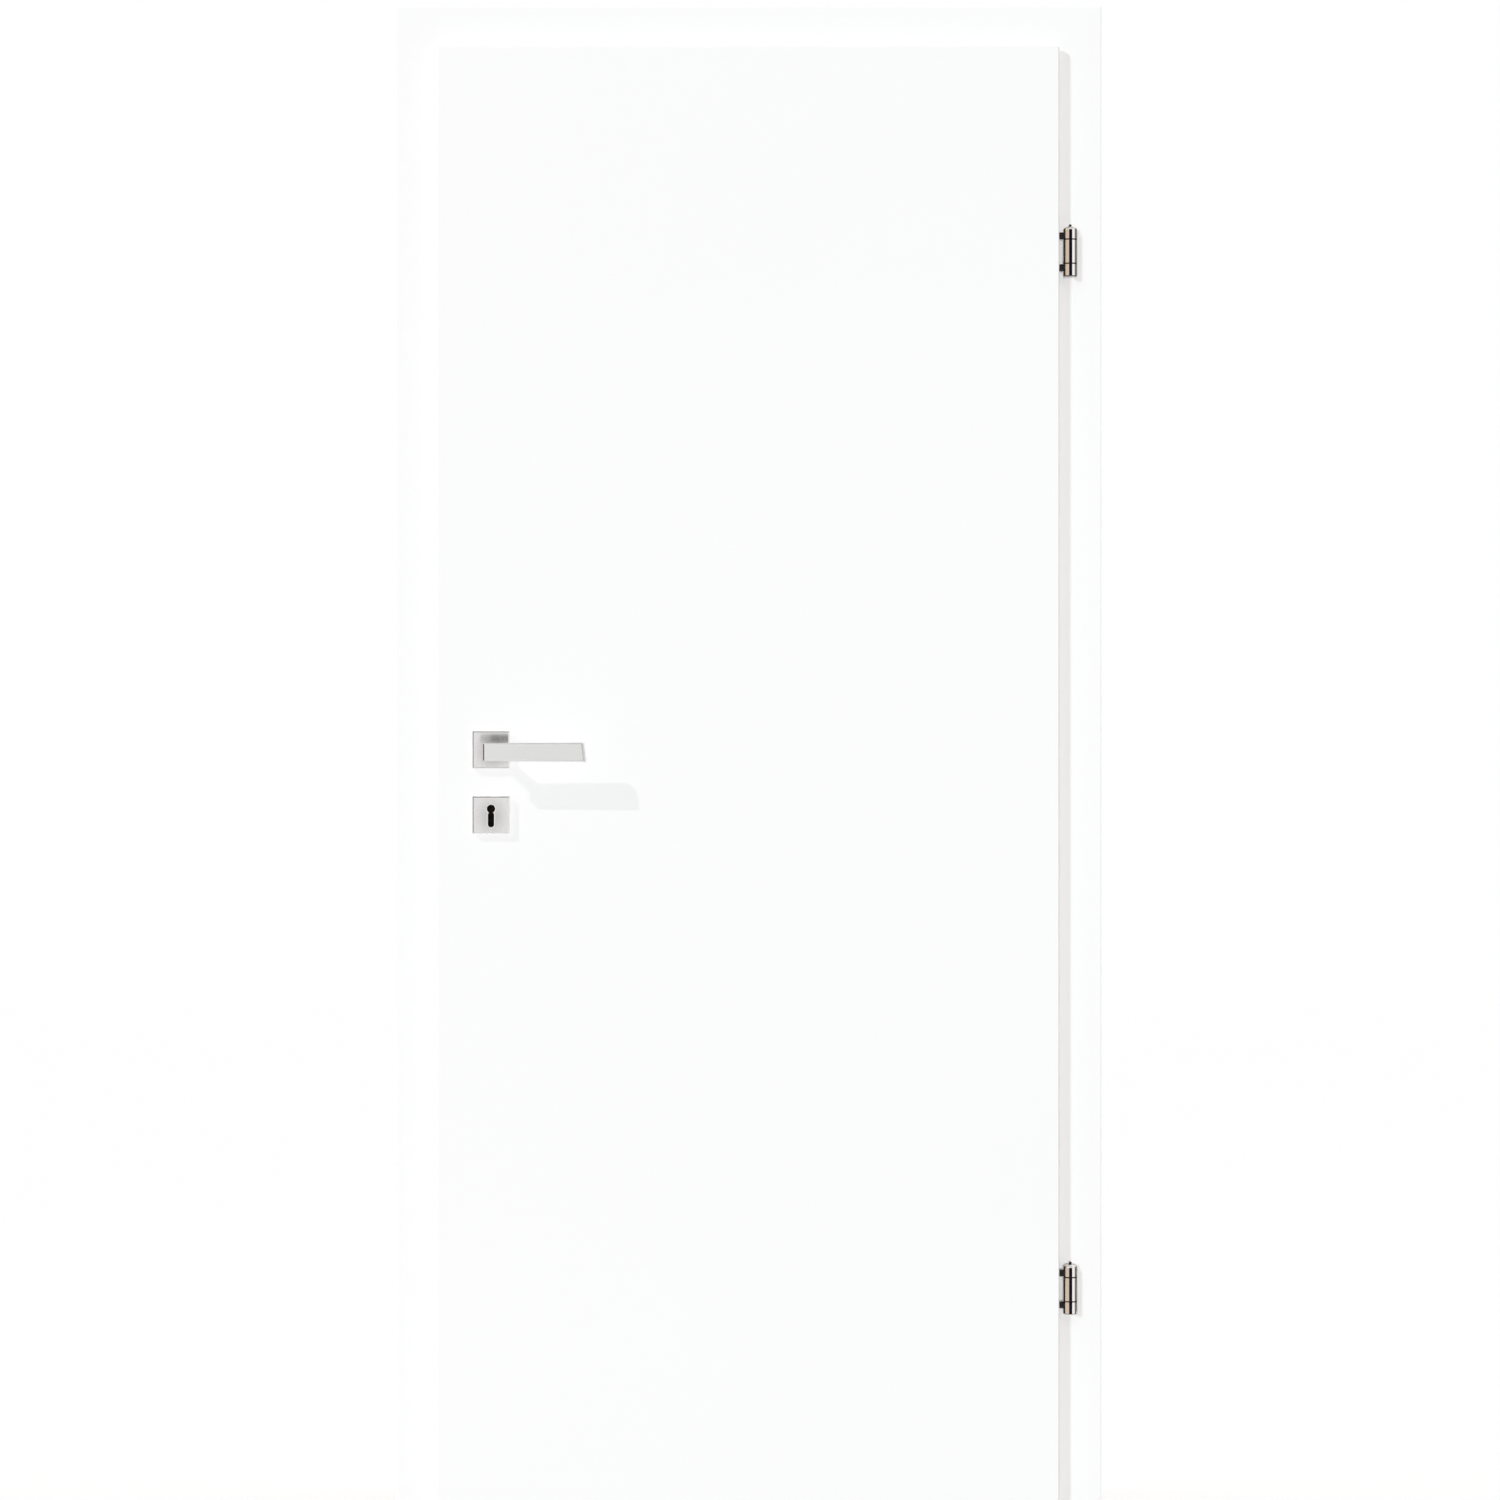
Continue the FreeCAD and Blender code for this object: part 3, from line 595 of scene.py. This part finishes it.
def make_piece(name, shells, materials):
    """One object from several shells: vertices, faces, and one material number or one for each face."""
    vertices, faces, numbers = [], [], []
    for shell_vertices, shell_faces, number in shells:
        start = len(vertices)
        vertices += shell_vertices
        faces += [tuple(start + corner for corner in face) for face in shell_faces]
        numbers += number if isinstance(number, list) else [number] * len(shell_faces)
    mesh = bpy.data.meshes.new(name)
    mesh.from_pydata([tuple(vertex) for vertex in vertices], [], faces)
    work = bmesh.new()
    work.from_mesh(mesh)
    for face, number in zip(work.faces, numbers):
        face.material_index = number
    bmesh.ops.recalc_face_normals(work, faces=work.faces)
    work.to_mesh(mesh)
    work.free()
    for material in materials:
        mesh.materials.append(material)
    mesh.shade_smooth()
    mesh.set_sharp_from_angle(angle=math.radians(40))
    piece = bpy.data.objects.new(name, mesh)
    bpy.context.scene.collection.objects.link(piece)
    keep_faces_flat(piece)
    return piece

# %% [markdown]
# ## The barrel hinges
# Each hinge has three knuckles on one pin: the outer two carry the leaf on round arms, and the middle one
# is screwed into the frame. The photograph shows a domed head with the pin's tip above it, dark joints
# between the knuckles, and polished metal with warm and black bands. The knuckles are turned here again
# with soft rims, in the place of the plain solids.
#
# Nickel plate keeps a warm tint. The arms and the pin's tip take near-black burnished steel, which there
# stands for a painted reflection of the dark that polished metal would mirror, and the same steel on the
# faces at the knuckles' joints is painted shade.

# %% Hinge finishes
NICKEL_TONES = (0.90, 0.89, 0.875, 1), (0.85, 0.835, 0.815, 1), (0.87, 0.85, 0.82, 1)
# Near-black steel: burnished on the grub screws, a painted reflection on the hinge arms and tip, painted
# shade at the knuckles' joints.
BURNISHED_AND_SHADE_TONES = (0.055, 0.05, 0.048, 1), (0.02, 0.018, 0.016, 1), (0.04, 0.03, 0.024, 1)
polished_nickel = make_metal("polished_nickel", NICKEL_TONES, 0.035, 0.015, ROUND_Z, 0.001 * MM, 0.02,
                             rim=(0.62, 0.52, 0.44, 1))
burnished_and_shade_steel = make_metal("burnished_and_shade_steel", BURNISHED_AND_SHADE_TONES, 0.16, 0.10, ROUND_Z, 0.004 * MM)

# %% Turn the knuckles and pins
RIM = 0.35 * MM
MOUTH_RIM = 0.1 * MM
SEAM = 0.7 * MM
PLAY = 0.05 * MM
CUP_FLOOR = 3 * MM
ARM_RADIUS = 4.75 * MM
ARM_RIM = 0.6 * MM
ARM_INSET = 0.4 * MM
ARM_STOP = 5 * MM
SHANK_RADIUS, SHANK_START = 5 * MM, 4.5 * MM
DOME = 4.2 * MM
DOME_STEPS = 12
TIP_RADIUS, TIP_HOLE = 1.8 * MM, 2.1 * MM
UP = (0, 0, 1)


def hinge_centre(name):
    """Axis and radius of a barrel, from the top knuckle's box, which is as deep and ends where it does."""
    low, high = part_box(name + "_hinge_top_knuckle")
    radius = (high.y - low.y) / 2
    return Vector((high.x - radius, (low.y + high.y) / 2, 0.0)), radius


def arm_shell(node, centre, z):
    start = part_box(node)[0].x
    length = centre.x - ARM_STOP - start
    profile = soften([(0, 0, 0), (ARM_RADIUS, 0, ARM_RIM), (ARM_RADIUS, length, 0), (0, length, 0)])
    return turned_shell(profile, (start, centre.y, z), (1, 0, 0), ROD_STEPS)


def shade_at_joints(shell, heights):
    """Number 1 for faces near the given heights, which take the near-black steel as painted shade in the
    joints, and 0 for the rest.
    """
    vertices, faces = shell
    middles = [sum(vertices[corner].z for corner in face) / len(face) for face in faces]
    return [int(any(abs(middle - height) < SEAM for height in heights)) for middle in middles]


def turn_hinge(name):
    centre, radius = hinge_centre(name)
    pin_low, pin_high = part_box(name + "_hinge_pin")
    pin_radius = (pin_high.x - pin_low.x) / 2
    bore = pin_radius + PLAY
    made = []

    node = name + "_hinge_bottom_knuckle"
    low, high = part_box(node)
    z0, z1 = low.z, high.z
    outline = [(0, z0, 0), (radius, z0, 0.8 * MM), (radius, z1 - SEAM, 0), (radius, z1, RIM),
               (bore, z1, MOUTH_RIM), (bore, z0 + CUP_FLOOR, 0), (0, z0 + CUP_FLOOR, 0)]
    barrel = turned_shell(soften(outline), centre, UP)
    arm = arm_shell(node, centre, z1 - ARM_RADIUS - ARM_INSET)
    made.append((node, [(*barrel, shade_at_joints(barrel, [z0, z1])), (*arm, 1)], "leaf"))

    node = name + "_hinge_frame_knuckle"
    low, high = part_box(node)
    z0, z1 = low.z, high.z
    outline = [(pin_radius, z0, MOUTH_RIM), (radius, z0, RIM), (radius, z0 + SEAM, 0),
               (radius, z1 - SEAM, 0), (radius, z1, RIM), (pin_radius, z1, MOUTH_RIM)]
    barrel = turned_shell(soften(outline), centre, UP)
    reach = high.y - centre.y
    rod = [(0, SHANK_START), (SHANK_RADIUS, SHANK_START), (SHANK_RADIUS, reach), (0, reach)]
    shank = turned_shell(rod, (centre.x, centre.y, (z0 + z1) / 2), (0, 1, 0), ROD_STEPS)
    made.append((node, [(*barrel, shade_at_joints(barrel, [z0, z1])), (*shank, 1)], "frame"))

    node = name + "_hinge_top_knuckle"
    low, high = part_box(node)
    z0, z1 = low.z, high.z
    outline = [(bore, z0, MOUTH_RIM), (radius, z0, RIM), (radius, z0 + SEAM, 0)]
    for step in range(DOME_STEPS + 1):
        turn = math.pi / 2 * step / DOME_STEPS
        outline.append((DOME + (radius - DOME) * math.cos(turn), z1 - DOME + DOME * math.sin(turn), 0))
    outline += [(TIP_HOLE, z1, 0.15 * MM), (TIP_HOLE, z1 - DOME, 0), (bore, z1 - DOME, 0)]
    barrel = turned_shell(soften(outline), centre, UP)
    arm = arm_shell(node, centre, z0 + ARM_RADIUS + ARM_INSET)
    made.append((node, [(*barrel, shade_at_joints(barrel, [z0])), (*arm, 1)], "leaf"))

    shoulder = z1 - DOME - 0.4 * MM
    outline = [(0, pin_low.z, 0), (pin_radius, pin_low.z, 0.3 * MM), (pin_radius, shoulder, 0.2 * MM),
               (TIP_RADIUS, shoulder, 0), (TIP_RADIUS, pin_high.z, 0.9 * MM), (0, pin_high.z, 0)]
    pin = turned_shell(soften(outline), centre, UP, ROD_STEPS)
    made.append((name + "_hinge_pin", [(*pin, 1)], "frame"))

    # Material 1, the near-black steel, is painted reflection on arms and tip and painted shade at the joints.
    for node, shells, body in made:
        piece = make_piece(node + "_turned", shells, [polished_nickel, burnished_and_shade_steel])
        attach(piece, body)
        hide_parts(node)
    return len(made)


for name in ("upper", "lower"):
    for part in ("top_knuckle", "bottom_knuckle", "frame_knuckle", "pin"):
        dress([name + "_hinge_" + part], polished_nickel)
    print(name, "hinge:", turn_hinge(name), "turned pieces")

# %% [markdown]
# ## The small screws
# Two countersunk screws hold the faceplate in the leaf's edge, three hold the strike plate, and a grub
# screw under each lever's neck holds it on the spindle. A screw head is a turned cone with a recess. The
# recess is cut by giving the top face an inner outline, a cross or a hexagon, and sinking it. The plates
# are solids without holes, and the heads lie a hair below their faces, so they don't show from outside.

# %% Screw helper
SCREW_STEPS = 36
SCREW_RIM = 0.15 * MM
RECESS_SHARE = 0.28
CROSS_ARM_SHARE = 0.28


def recess_outline(kind, size):
    if kind == "hexagon":
        turns = [math.radians(60 * k) for k in range(6)]
        return [(size * math.cos(turn), size * math.sin(turn)) for turn in turns]
    arm = size * CROSS_ARM_SHARE
    quarter = [(size, -arm), (size, arm), (arm, arm)]
    return [(x * math.cos(turn) - y * math.sin(turn), x * math.sin(turn) + y * math.cos(turn))
            for turn in (0, math.pi / 2, math.pi, 3 * math.pi / 2) for x, y in quarter]


def make_screw(name, place, outward, head, kind, depth, body, material, taper=0.5, turn=0.0):
    """A screw head of the given diameter whose face looks outward."""
    outward = Vector(outward)
    side = Matrix.Rotation(turn, 3, outward) @ outward.orthogonal().normalized()
    other = outward.cross(side)

    def spot(x, y, z):
        return Vector(place) + side * x + other * y + outward * z

    def ring(r, z):
        turns = [2 * math.pi * k / SCREW_STEPS for k in range(SCREW_STEPS)]
        return [work.verts.new(spot(r * math.cos(t), r * math.sin(t), z)) for t in turns]

    work = bmesh.new()
    radius = head / 2
    recess = recess_outline(kind, head * RECESS_SHARE)
    inner = [work.verts.new(spot(x, y, 0.0)) for x, y in recess]
    rings = [ring(radius - SCREW_RIM, 0.0), ring(radius, -SCREW_RIM), ring(radius * taper, -depth * 1.6)]
    edges = []
    for loop in (inner, rings[0]):
        edges += [work.edges.new((loop[k - 1], loop[k])) for k in range(len(loop))]
    bmesh.ops.triangle_fill(work, use_beauty=True, edges=edges)
    for low, high in zip(rings[:-1], rings[1:]):
        for k in range(SCREW_STEPS):
            work.faces.new((low[k - 1], low[k], high[k], high[k - 1]))
    work.faces.new(rings[-1])
    floor = [work.verts.new(spot(x * 0.8, y * 0.8, -depth)) for x, y in recess]
    for k in range(len(inner)):
        work.faces.new((inner[k - 1], inner[k], floor[k], floor[k - 1]))
    work.faces.new(floor)
    bmesh.ops.recalc_face_normals(work, faces=work.faces)
    mesh = bpy.data.meshes.new(name)
    work.to_mesh(mesh)
    work.free()
    mesh.materials.append(material)
    mesh.shade_smooth()
    mesh.set_sharp_from_angle(angle=math.radians(30))
    piece = bpy.data.objects.new(name, mesh)
    bpy.context.scene.collection.objects.link(piece)
    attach(piece, body)
    return piece

# %% Place the screws
SUNK = 0.05 * MM
SCREW_INSET = 9 * MM
STRIKE_SCREW_Y = -73.5 * MM
GRUB_FROM_PLATE = 9 * MM
GRUB_UNDER_AXIS = 7.9 * MM
screws = []
plate_low, plate_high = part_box("lock_faceplate")
plate_y = (plate_low.y + plate_high.y) / 2
for label, z, turn in (("top", plate_high.z - SCREW_INSET, 0.4), ("bottom", plate_low.z + SCREW_INSET, 1.1)):
    screws.append(make_screw("faceplate_screw_" + label, (plate_low.x + SUNK, plate_y, z), (-1, 0, 0),
                             7.2 * MM, "cross", 1.6 * MM, "leaf", bolt_steel, turn=turn))
strike_low, strike_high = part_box("strike_plate")
for label, share in (("top", 0.93), ("middle", 0.53), ("bottom", 0.07)):
    z = strike_low.z + (strike_high.z - strike_low.z) * share
    screws.append(make_screw("strike_screw_" + label, (strike_high.x - SUNK, STRIKE_SCREW_Y, z), (1, 0, 0),
                             6.4 * MM, "cross", 1.4 * MM, "frame", bolt_steel,
                             turn=0.3 + share))
for side, sign in (("room", -1), ("outer", 1)):
    rose_low, rose_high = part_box(side + "_lever_rosette")
    surface = rose_low.y if sign < 0 else rose_high.y
    place = ((rose_low.x + rose_high.x) / 2, surface + sign * GRUB_FROM_PLATE,
             (rose_low.z + rose_high.z) / 2 - GRUB_UNDER_AXIS)
    screws.append(make_screw(side + "_lever_grub_screw", place, (0, 0, -1), 5.0 * MM, "hexagon", 1.8 * MM,
                             "lever", burnished_and_shade_steel, taper=0.9))
print(len(screws), "screws")

# %% [markdown]
# ## The studio
# The backdrop is plain white to the camera and to reflections, through the Light Path node, and that
# white adds nothing to the light on the door. The light itself is a weak, even sky, because a strong one
# would put grey halos round the rosettes, and the lamps below bring the rest.

# %% World
SKY = 0.32
WHITE = (1.0, 1.0, 1.0, 1.0)


def seen_or_mirrored(tree):
    """One for the camera's rays, reflections and rays through glass, zero for light on a matt surface."""
    path = tree.nodes.new("ShaderNodeLightPath").outputs
    seen = maths(tree, "MAXIMUM", path["Is Camera Ray"], path["Is Glossy Ray"])
    return maths(tree, "MAXIMUM", seen, path["Is Transmission Ray"])


def make_world():
    world = bpy.data.worlds.new("studio")
    bpy.context.scene.world = world
    world.use_nodes = True
    tree = world.node_tree
    tree.nodes.clear()
    seen = seen_or_mirrored(tree)
    light = add(tree, "Background", Color=WHITE, Strength=SKY)
    shown = add(tree, "Background", Color=WHITE, Strength=1.0)
    mixed = add(tree, "MixShader", i0=seen, i1=light.outputs[0], i2=shown.outputs[0])
    connect(tree, mixed.outputs[0], tree.nodes.new("ShaderNodeOutputWorld").inputs[0])


make_world()
print("sky level", SKY)

# %% [markdown]
# ## The floor
# The floor is matt and takes the door's shadow. Towards the camera and in reflections it also glows, and
# glow and lamps together make it as white as the backdrop, so the two meet without a line. It throws no
# light back on the door, so the boards are as bright at the foot as at the head, as in the photograph.

# %% Floor
FLOOR_GLOW = 0.83
FLOOR_HALF = 12.0
FLOOR_TONES = (0.45, 0.45, 0.45, 1.0), (0.44, 0.44, 0.44, 1.0)
ONE_FACE = [(0, 1, 2, 3)]


def make_floor():
    mesh = bpy.data.meshes.new("floor")
    corners = ((-1, -1), (1, -1), (1, 1), (-1, 1))
    mesh.from_pydata([(x * FLOOR_HALF, y * FLOOR_HALF, 0) for x, y in corners], [], ONE_FACE)
    floor = bpy.data.objects.new("floor", mesh)
    bpy.context.scene.collection.objects.link(floor)
    material = bpy.data.materials.new("pale_floor")
    material.use_nodes = True
    tree = material.node_tree
    tree.nodes.clear()
    fleck = remap(tree, noise(tree, object_place(tree), 60.0, 3.0, 0.5), 0.3, 0.7)
    matt = add(tree, "BsdfDiffuse", Color=blend(tree, fleck, *FLOOR_TONES))
    strength = maths(tree, "MULTIPLY", seen_or_mirrored(tree), FLOOR_GLOW)
    glow = add(tree, "Emission", Color=WHITE, Strength=strength)
    both = add(tree, "AddShader", i0=matt.outputs[0], i1=glow.outputs[0])
    connect(tree, both.outputs[0], tree.nodes.new("ShaderNodeOutputMaterial").inputs["Surface"])
    mesh.materials.append(material)
    floor.visible_diffuse = False
    floor.visible_shadow = False


make_floor()

# %% [markdown]
# ## The lamps
# Five wide lamps, one for each way a door can be looked at, light the flat faces without turning shallow
# steps grey. The photograph also has two kinds of shadow: a grey strip that the leaf throws on the frame
# beside the hinges, and a crisp, faint one below the lever. Each gets its own lamp from the upper left.
# A lamp's share says how much of full white it brings to a face that looks along the given axis. None of
# them shows as a spot in the metal: reflections come from the backdrop and the cards. The strip is a
# little warm in the photograph, and the boards aren't. So the lamp that the strip misses is a little blue,
# and the one in front makes up for it.
#
# The lamps at the sides and the top stand a little behind the door. There the frame shades the narrow
# edges of the leaf, which would otherwise throw a bright line of light back on the frame. One more lights
# the frame alone, flat from the right, so that the rounded edge of the casing doesn't end in a grey line.

# %% Lamps
def sun(name, travel, share, angle, axis=1, colour=(1.0, 1.0, 1.0)):
    """A lamp whose light travels along a direction, with the angle that the lamp fills, in degrees."""
    travel = Vector(travel)
    lamp = bpy.data.lights.new(name, "SUN")
    lamp.angle = math.radians(angle)
    lamp.color = colour
    lamp.energy = share * math.pi * travel.length / abs(travel[axis])
    holder = bpy.data.objects.new(name, lamp)
    holder.rotation_mode = "QUATERNION"
    holder.rotation_quaternion = travel.to_track_quat("-Z", "Y")
    holder.visible_glossy = False
    bpy.context.scene.collection.objects.link(holder)
    print(name, "energy", round(lamp.energy, 3))
    return holder


SLOPE = -0.07
FROM_BEHIND = -0.36
sun("front_sun", (0.0, 1.0, 0.0), 0.428, 3.0, colour=(1.025, 1.0, 0.975))
sun("back_sun", (0.0, -1.0, SLOPE), 0.06, 8.0)
sun("left_sun", (1.0, FROM_BEHIND, SLOPE), 0.34, 4.0, axis=0)
sun("right_sun", (-1.0, FROM_BEHIND, SLOPE), 0.34, 4.0, axis=0)
top_sun = sun("top_sun", (0.0, FROM_BEHIND, -1.0), 0.40, 4.0, axis=2)
strip_sun = sun("strip_sun", (0.93, 1.0, -0.50), 0.199, 6.0, colour=(0.93, 1.0, 1.07))
crisp_sun = sun("crisp_sun", (1.45, 1.0, -1.32), 0.085, 0.4)
edge_sun = sun("edge_sun", (-1.0, 0.0, 0.0), 0.22, 4.0, axis=0)

# %% [markdown]
# The strip's lamp would also draw a heavy shadow of the lever, and the crisp one a second, wider strip,
# which the photograph hasn't got. Light linking names what may block a lamp, and what it may light. The
# leaf's boards and the hinge pins block the first, and so each hinge has a soft shade beside it. The lever
# set and the frame block the second. Neither lights the floor or the edges of the leaf, whose glow would
# spoil the frame beside them. The top lamp leaves the floor out too.

# %% Who blocks and who gets which lamp
def gather(name, pieces):
    group = bpy.data.collections.new(name)
    for piece in pieces:
        group.objects.link(piece)
    return group


leaf_pieces = [nodes[name] for name in leaf_boards]
door_pieces = [piece for piece in bpy.data.objects if piece.type == "MESH" and piece.name != "floor"]
shown_pieces = [piece for piece in door_pieces if not piece.hide_render]
pins = [piece for piece in shown_pieces if "hinge_pin" in piece.name]
others = [piece for piece in shown_pieces
          if piece not in leaf_pieces and not piece.name.startswith(("upper_hinge", "lower_hinge"))]
leaf_edges = [nodes[name] for name in leaf_boards if name.endswith(("_stile", "_rail"))]
strip_sun.light_linking.blocker_collection = gather("strip_blockers", leaf_pieces + pins)
crisp_sun.light_linking.blocker_collection = gather("crisp_blockers", others)
broad_faces = gather("broad_faces", [piece for piece in door_pieces if piece not in leaf_edges])
strip_sun.light_linking.receiver_collection = broad_faces
crisp_sun.light_linking.receiver_collection = broad_faces
top_sun.light_linking.receiver_collection = gather("door_alone", door_pieces)
frame_alone = gather("frame_alone", [nodes[name] for name in frame_boards])
edge_sun.light_linking.receiver_collection = frame_alone
edge_sun.light_linking.blocker_collection = frame_alone

# %% [markdown]
# ## Cards and flags for the metal
# Metal shows what stands round it. Photographers set grey cards and black flags round a product to draw
# the bands and dark outlines that make it read as metal. These are seen by reflections alone, so they
# neither shade the door nor show in the picture. Most of the hinges' cards are bent round the hinge and
# stand well away, as low strips, so that the lacquer hardly sees them.

# %% Card helpers
def glow_material(name, colour, one_sided):
    material = bpy.data.materials.new(name)
    material.use_nodes = True
    tree = material.node_tree
    tree.nodes.clear()
    surface = add(tree, "Emission", Color=colour, Strength=1.0).outputs[0]
    if one_sided:
        behind = tree.nodes.new("ShaderNodeNewGeometry").outputs["Backfacing"]
        clear = add(tree, "BsdfTransparent").outputs[0]
        surface = add(tree, "MixShader", i0=behind, i1=surface, i2=clear).outputs[0]
    connect(tree, surface, tree.nodes.new("ShaderNodeOutputMaterial").inputs["Surface"])
    return material


def reflection_only(name, vertices, faces, colour, one_sided=False):
    mesh = bpy.data.meshes.new(name)
    mesh.from_pydata([tuple(vertex) for vertex in vertices], [], faces)
    mesh.materials.append(glow_material(name, colour, one_sided))
    board = bpy.data.objects.new(name, mesh)
    bpy.context.scene.collection.objects.link(board)
    board.visible_camera = False
    board.visible_diffuse = False
    board.visible_shadow = False
    board.visible_transmission = False


def bent_card(name, centre, radius, from_angle, to_angle, from_z, to_z, colour):
    """An upright strip round centre, raised or lowered to where the camera's rays go after the mirror.

    Angles are measured from the camera's side, towards the right."""
    steps = 24
    middle = centre.z + (centre.z - CAMERA_HEIGHT) / CAMERA_DISTANCE * radius
    vertices = []
    for step in range(steps + 1):
        turn = math.radians(from_angle + (to_angle - from_angle) * step / steps)
        x = centre.x + radius * math.sin(turn)
        y = centre.y - radius * math.cos(turn)
        vertices += [(x, y, middle + from_z), (x, y, middle + to_z)]
    faces = [(2 * k, 2 * k + 1, 2 * k + 3, 2 * k + 2) for k in range(steps)]
    reflection_only(name, vertices, faces, colour)

# %% [markdown]
# The cards round a hinge go by angle, because a round bar spreads all that stands round it into upright
# bands: a black one in front, a warm one to its left, a grey one to its right. Two more, dark ones, lie just
# off the leaf's edge and the frame, as a painted shade of those faces for the hinge to mirror. They glow on
# the hinge's side alone, so the lacquer behind doesn't see them.

# %% Cards round the hinges
CAMERA_DISTANCE = 6.0
CAMERA_HEIGHT = 1.0497
STRIP_RADIUS = 1.7
GREY_RADIUS = 0.5
STRIP_FOOT = -0.15
BLACK_TOP, WARM_TOP, GREY_TOP = 0.45, 0.30, 0.40
WARM_LEFT, BLACK_LEFT, BLACK_RIGHT = -84, -24, 29
GREY_LEFT, GREY_RIGHT = 76, 112
NEAR = 0.6 * MM
BLACK_CARD = (0.006, 0.006, 0.012, 1.0)
WARM_CARD = (0.70, 0.58, 0.48, 1.0)
LEAF_SHADE = (0.05, 0.035, 0.020, 1.0)


def grey(tone):
    return (tone, tone, tone, 1.0)


face_low, face_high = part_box("leaf_room_face")
casing_low, casing_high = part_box("room_casing_hinge_side")
front, back = face_low.y + NEAR, casing_low.y - NEAR
for name in ("upper", "lower"):
    centre, radius = hinge_centre(name)
    foot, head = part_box(name + "_hinge_bottom_knuckle")[0].z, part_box(name + "_hinge_pin")[1].z
    centre.z = (foot + head) / 2
    for label, away, left, right, top, colour in (
            ("black", STRIP_RADIUS, BLACK_LEFT, BLACK_RIGHT, BLACK_TOP, BLACK_CARD),
            ("warm", STRIP_RADIUS, WARM_LEFT, BLACK_LEFT, WARM_TOP, WARM_CARD),
            ("grey", GREY_RADIUS, GREY_LEFT, GREY_RIGHT, GREY_TOP, grey(0.17))):
        bent_card(name + "_" + label + "_strip", centre, away, left, right, STRIP_FOOT, top, colour)
    left = face_high.x + NEAR
    corners = [(left, front, foot), (left, back, foot), (left, back, head), (left, front, head)]
    reflection_only(name + "_edge_card", corners, ONE_FACE, LEAF_SHADE, True)
    left, right = centre.x + radius, casing_high.x
    corners = [(left, back, foot), (right, back, foot), (right, back, head), (left, back, head)]
    reflection_only(name + "_frame_card", corners, ONE_FACE, grey(0.24), True)

# %% [markdown]
# The lever and the rosettes are flat, so each shows one tone: that of the grey card behind the camera.
# Flags at the left, above and below draw their edges. Two small ones near the lever's rosette, a light one
# and a dark one, give the shade that the photograph has above the neck.

# %% Cards for the lever set
def level_card(name, x0, x1, y0, y1, z, colour, one_sided=False):
    corners = [(x0, y0, z), (x1, y0, z), (x1, y1, z), (x0, y1, z)]
    reflection_only(name, corners, ONE_FACE, colour, one_sided)


def upright_card(name, x0, x1, y, z0, z1, colour, one_sided=False):
    corners = [(x0, y, z0), (x0, y, z1), (x1, y, z1), (x1, y, z0)]
    reflection_only(name, corners, ONE_FACE, colour, one_sided)


BOTTOM_GAP = 0.01
FLAG_AWAY = 26 * MM
FLAG_ABOVE_BAR = 1 * MM
FLAG_BELOW_TOP = 4 * MM
upright_card("grey_front_card", -2.0, 1.2, -5.0, 0.2, 1.9, grey(0.80))
reflection_only("left_flag", [(-2.6, -1.1, -0.5), (-2.6, 0.5, -0.5), (-2.6, 0.5, 2.6), (-2.6, -1.1, 2.6)],
                ONE_FACE, (0.26, 0.25, 0.24, 1.0))
level_card("top_flag", -1.8, 0.9, -0.9, 0.5, 3.2, grey(0.20))
level_card("bottom_flag", -1.6, 0.3, -1.3, face_low.y - BOTTOM_GAP, 0.03, grey(0.82), True)
rose_low, rose_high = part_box("room_lever_rosette")
rose_middle = (rose_low.x + rose_high.x) / 2
flag_foot, flag_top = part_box("room_lever")[1].z + FLAG_ABOVE_BAR, rose_high.z - FLAG_BELOW_TOP
for label, left, right, tone in (("light", -16, -2, 0.48), ("dark", -2, 45, 0.24)):
    upright_card("rosette_flag_" + label, rose_middle + left * MM, rose_middle + right * MM,
                 rose_low.y - FLAG_AWAY, flag_foot, flag_top, grey(tone), True)
print("cards and flags set")

# %% [markdown]
# ## The camera
# The photograph looks straight at the leaf with no slant, and its middle is level with the lever. The
# lens follows from the distance and from how much of the door fits in the picture: 1500 pixels of 1.382
# millimetres cover 2.073 metres in the plane of the leaf.

# %% Camera
PICTURE_METRES = 1500 * 1.382 * MM
SENSOR = 36.0
CAMERA_RIGHT = 2.4 * MM
lens_camera = bpy.data.cameras.new("camera")
lens_camera.sensor_width = SENSOR
lens_camera.lens = SENSOR * CAMERA_DISTANCE / PICTURE_METRES
camera = bpy.data.objects.new("camera", lens_camera)
camera.location = ((face_low.x + face_high.x) / 2 + CAMERA_RIGHT, face_low.y - CAMERA_DISTANCE, CAMERA_HEIGHT)
camera.rotation_euler = (math.radians(90), 0.0, 0.0)
bpy.context.scene.collection.objects.link(camera)
bpy.context.scene.camera = camera
bpy.context.scene.view_settings.view_transform = "Standard"
print("lens", round(lens_camera.lens, 1), "mm")
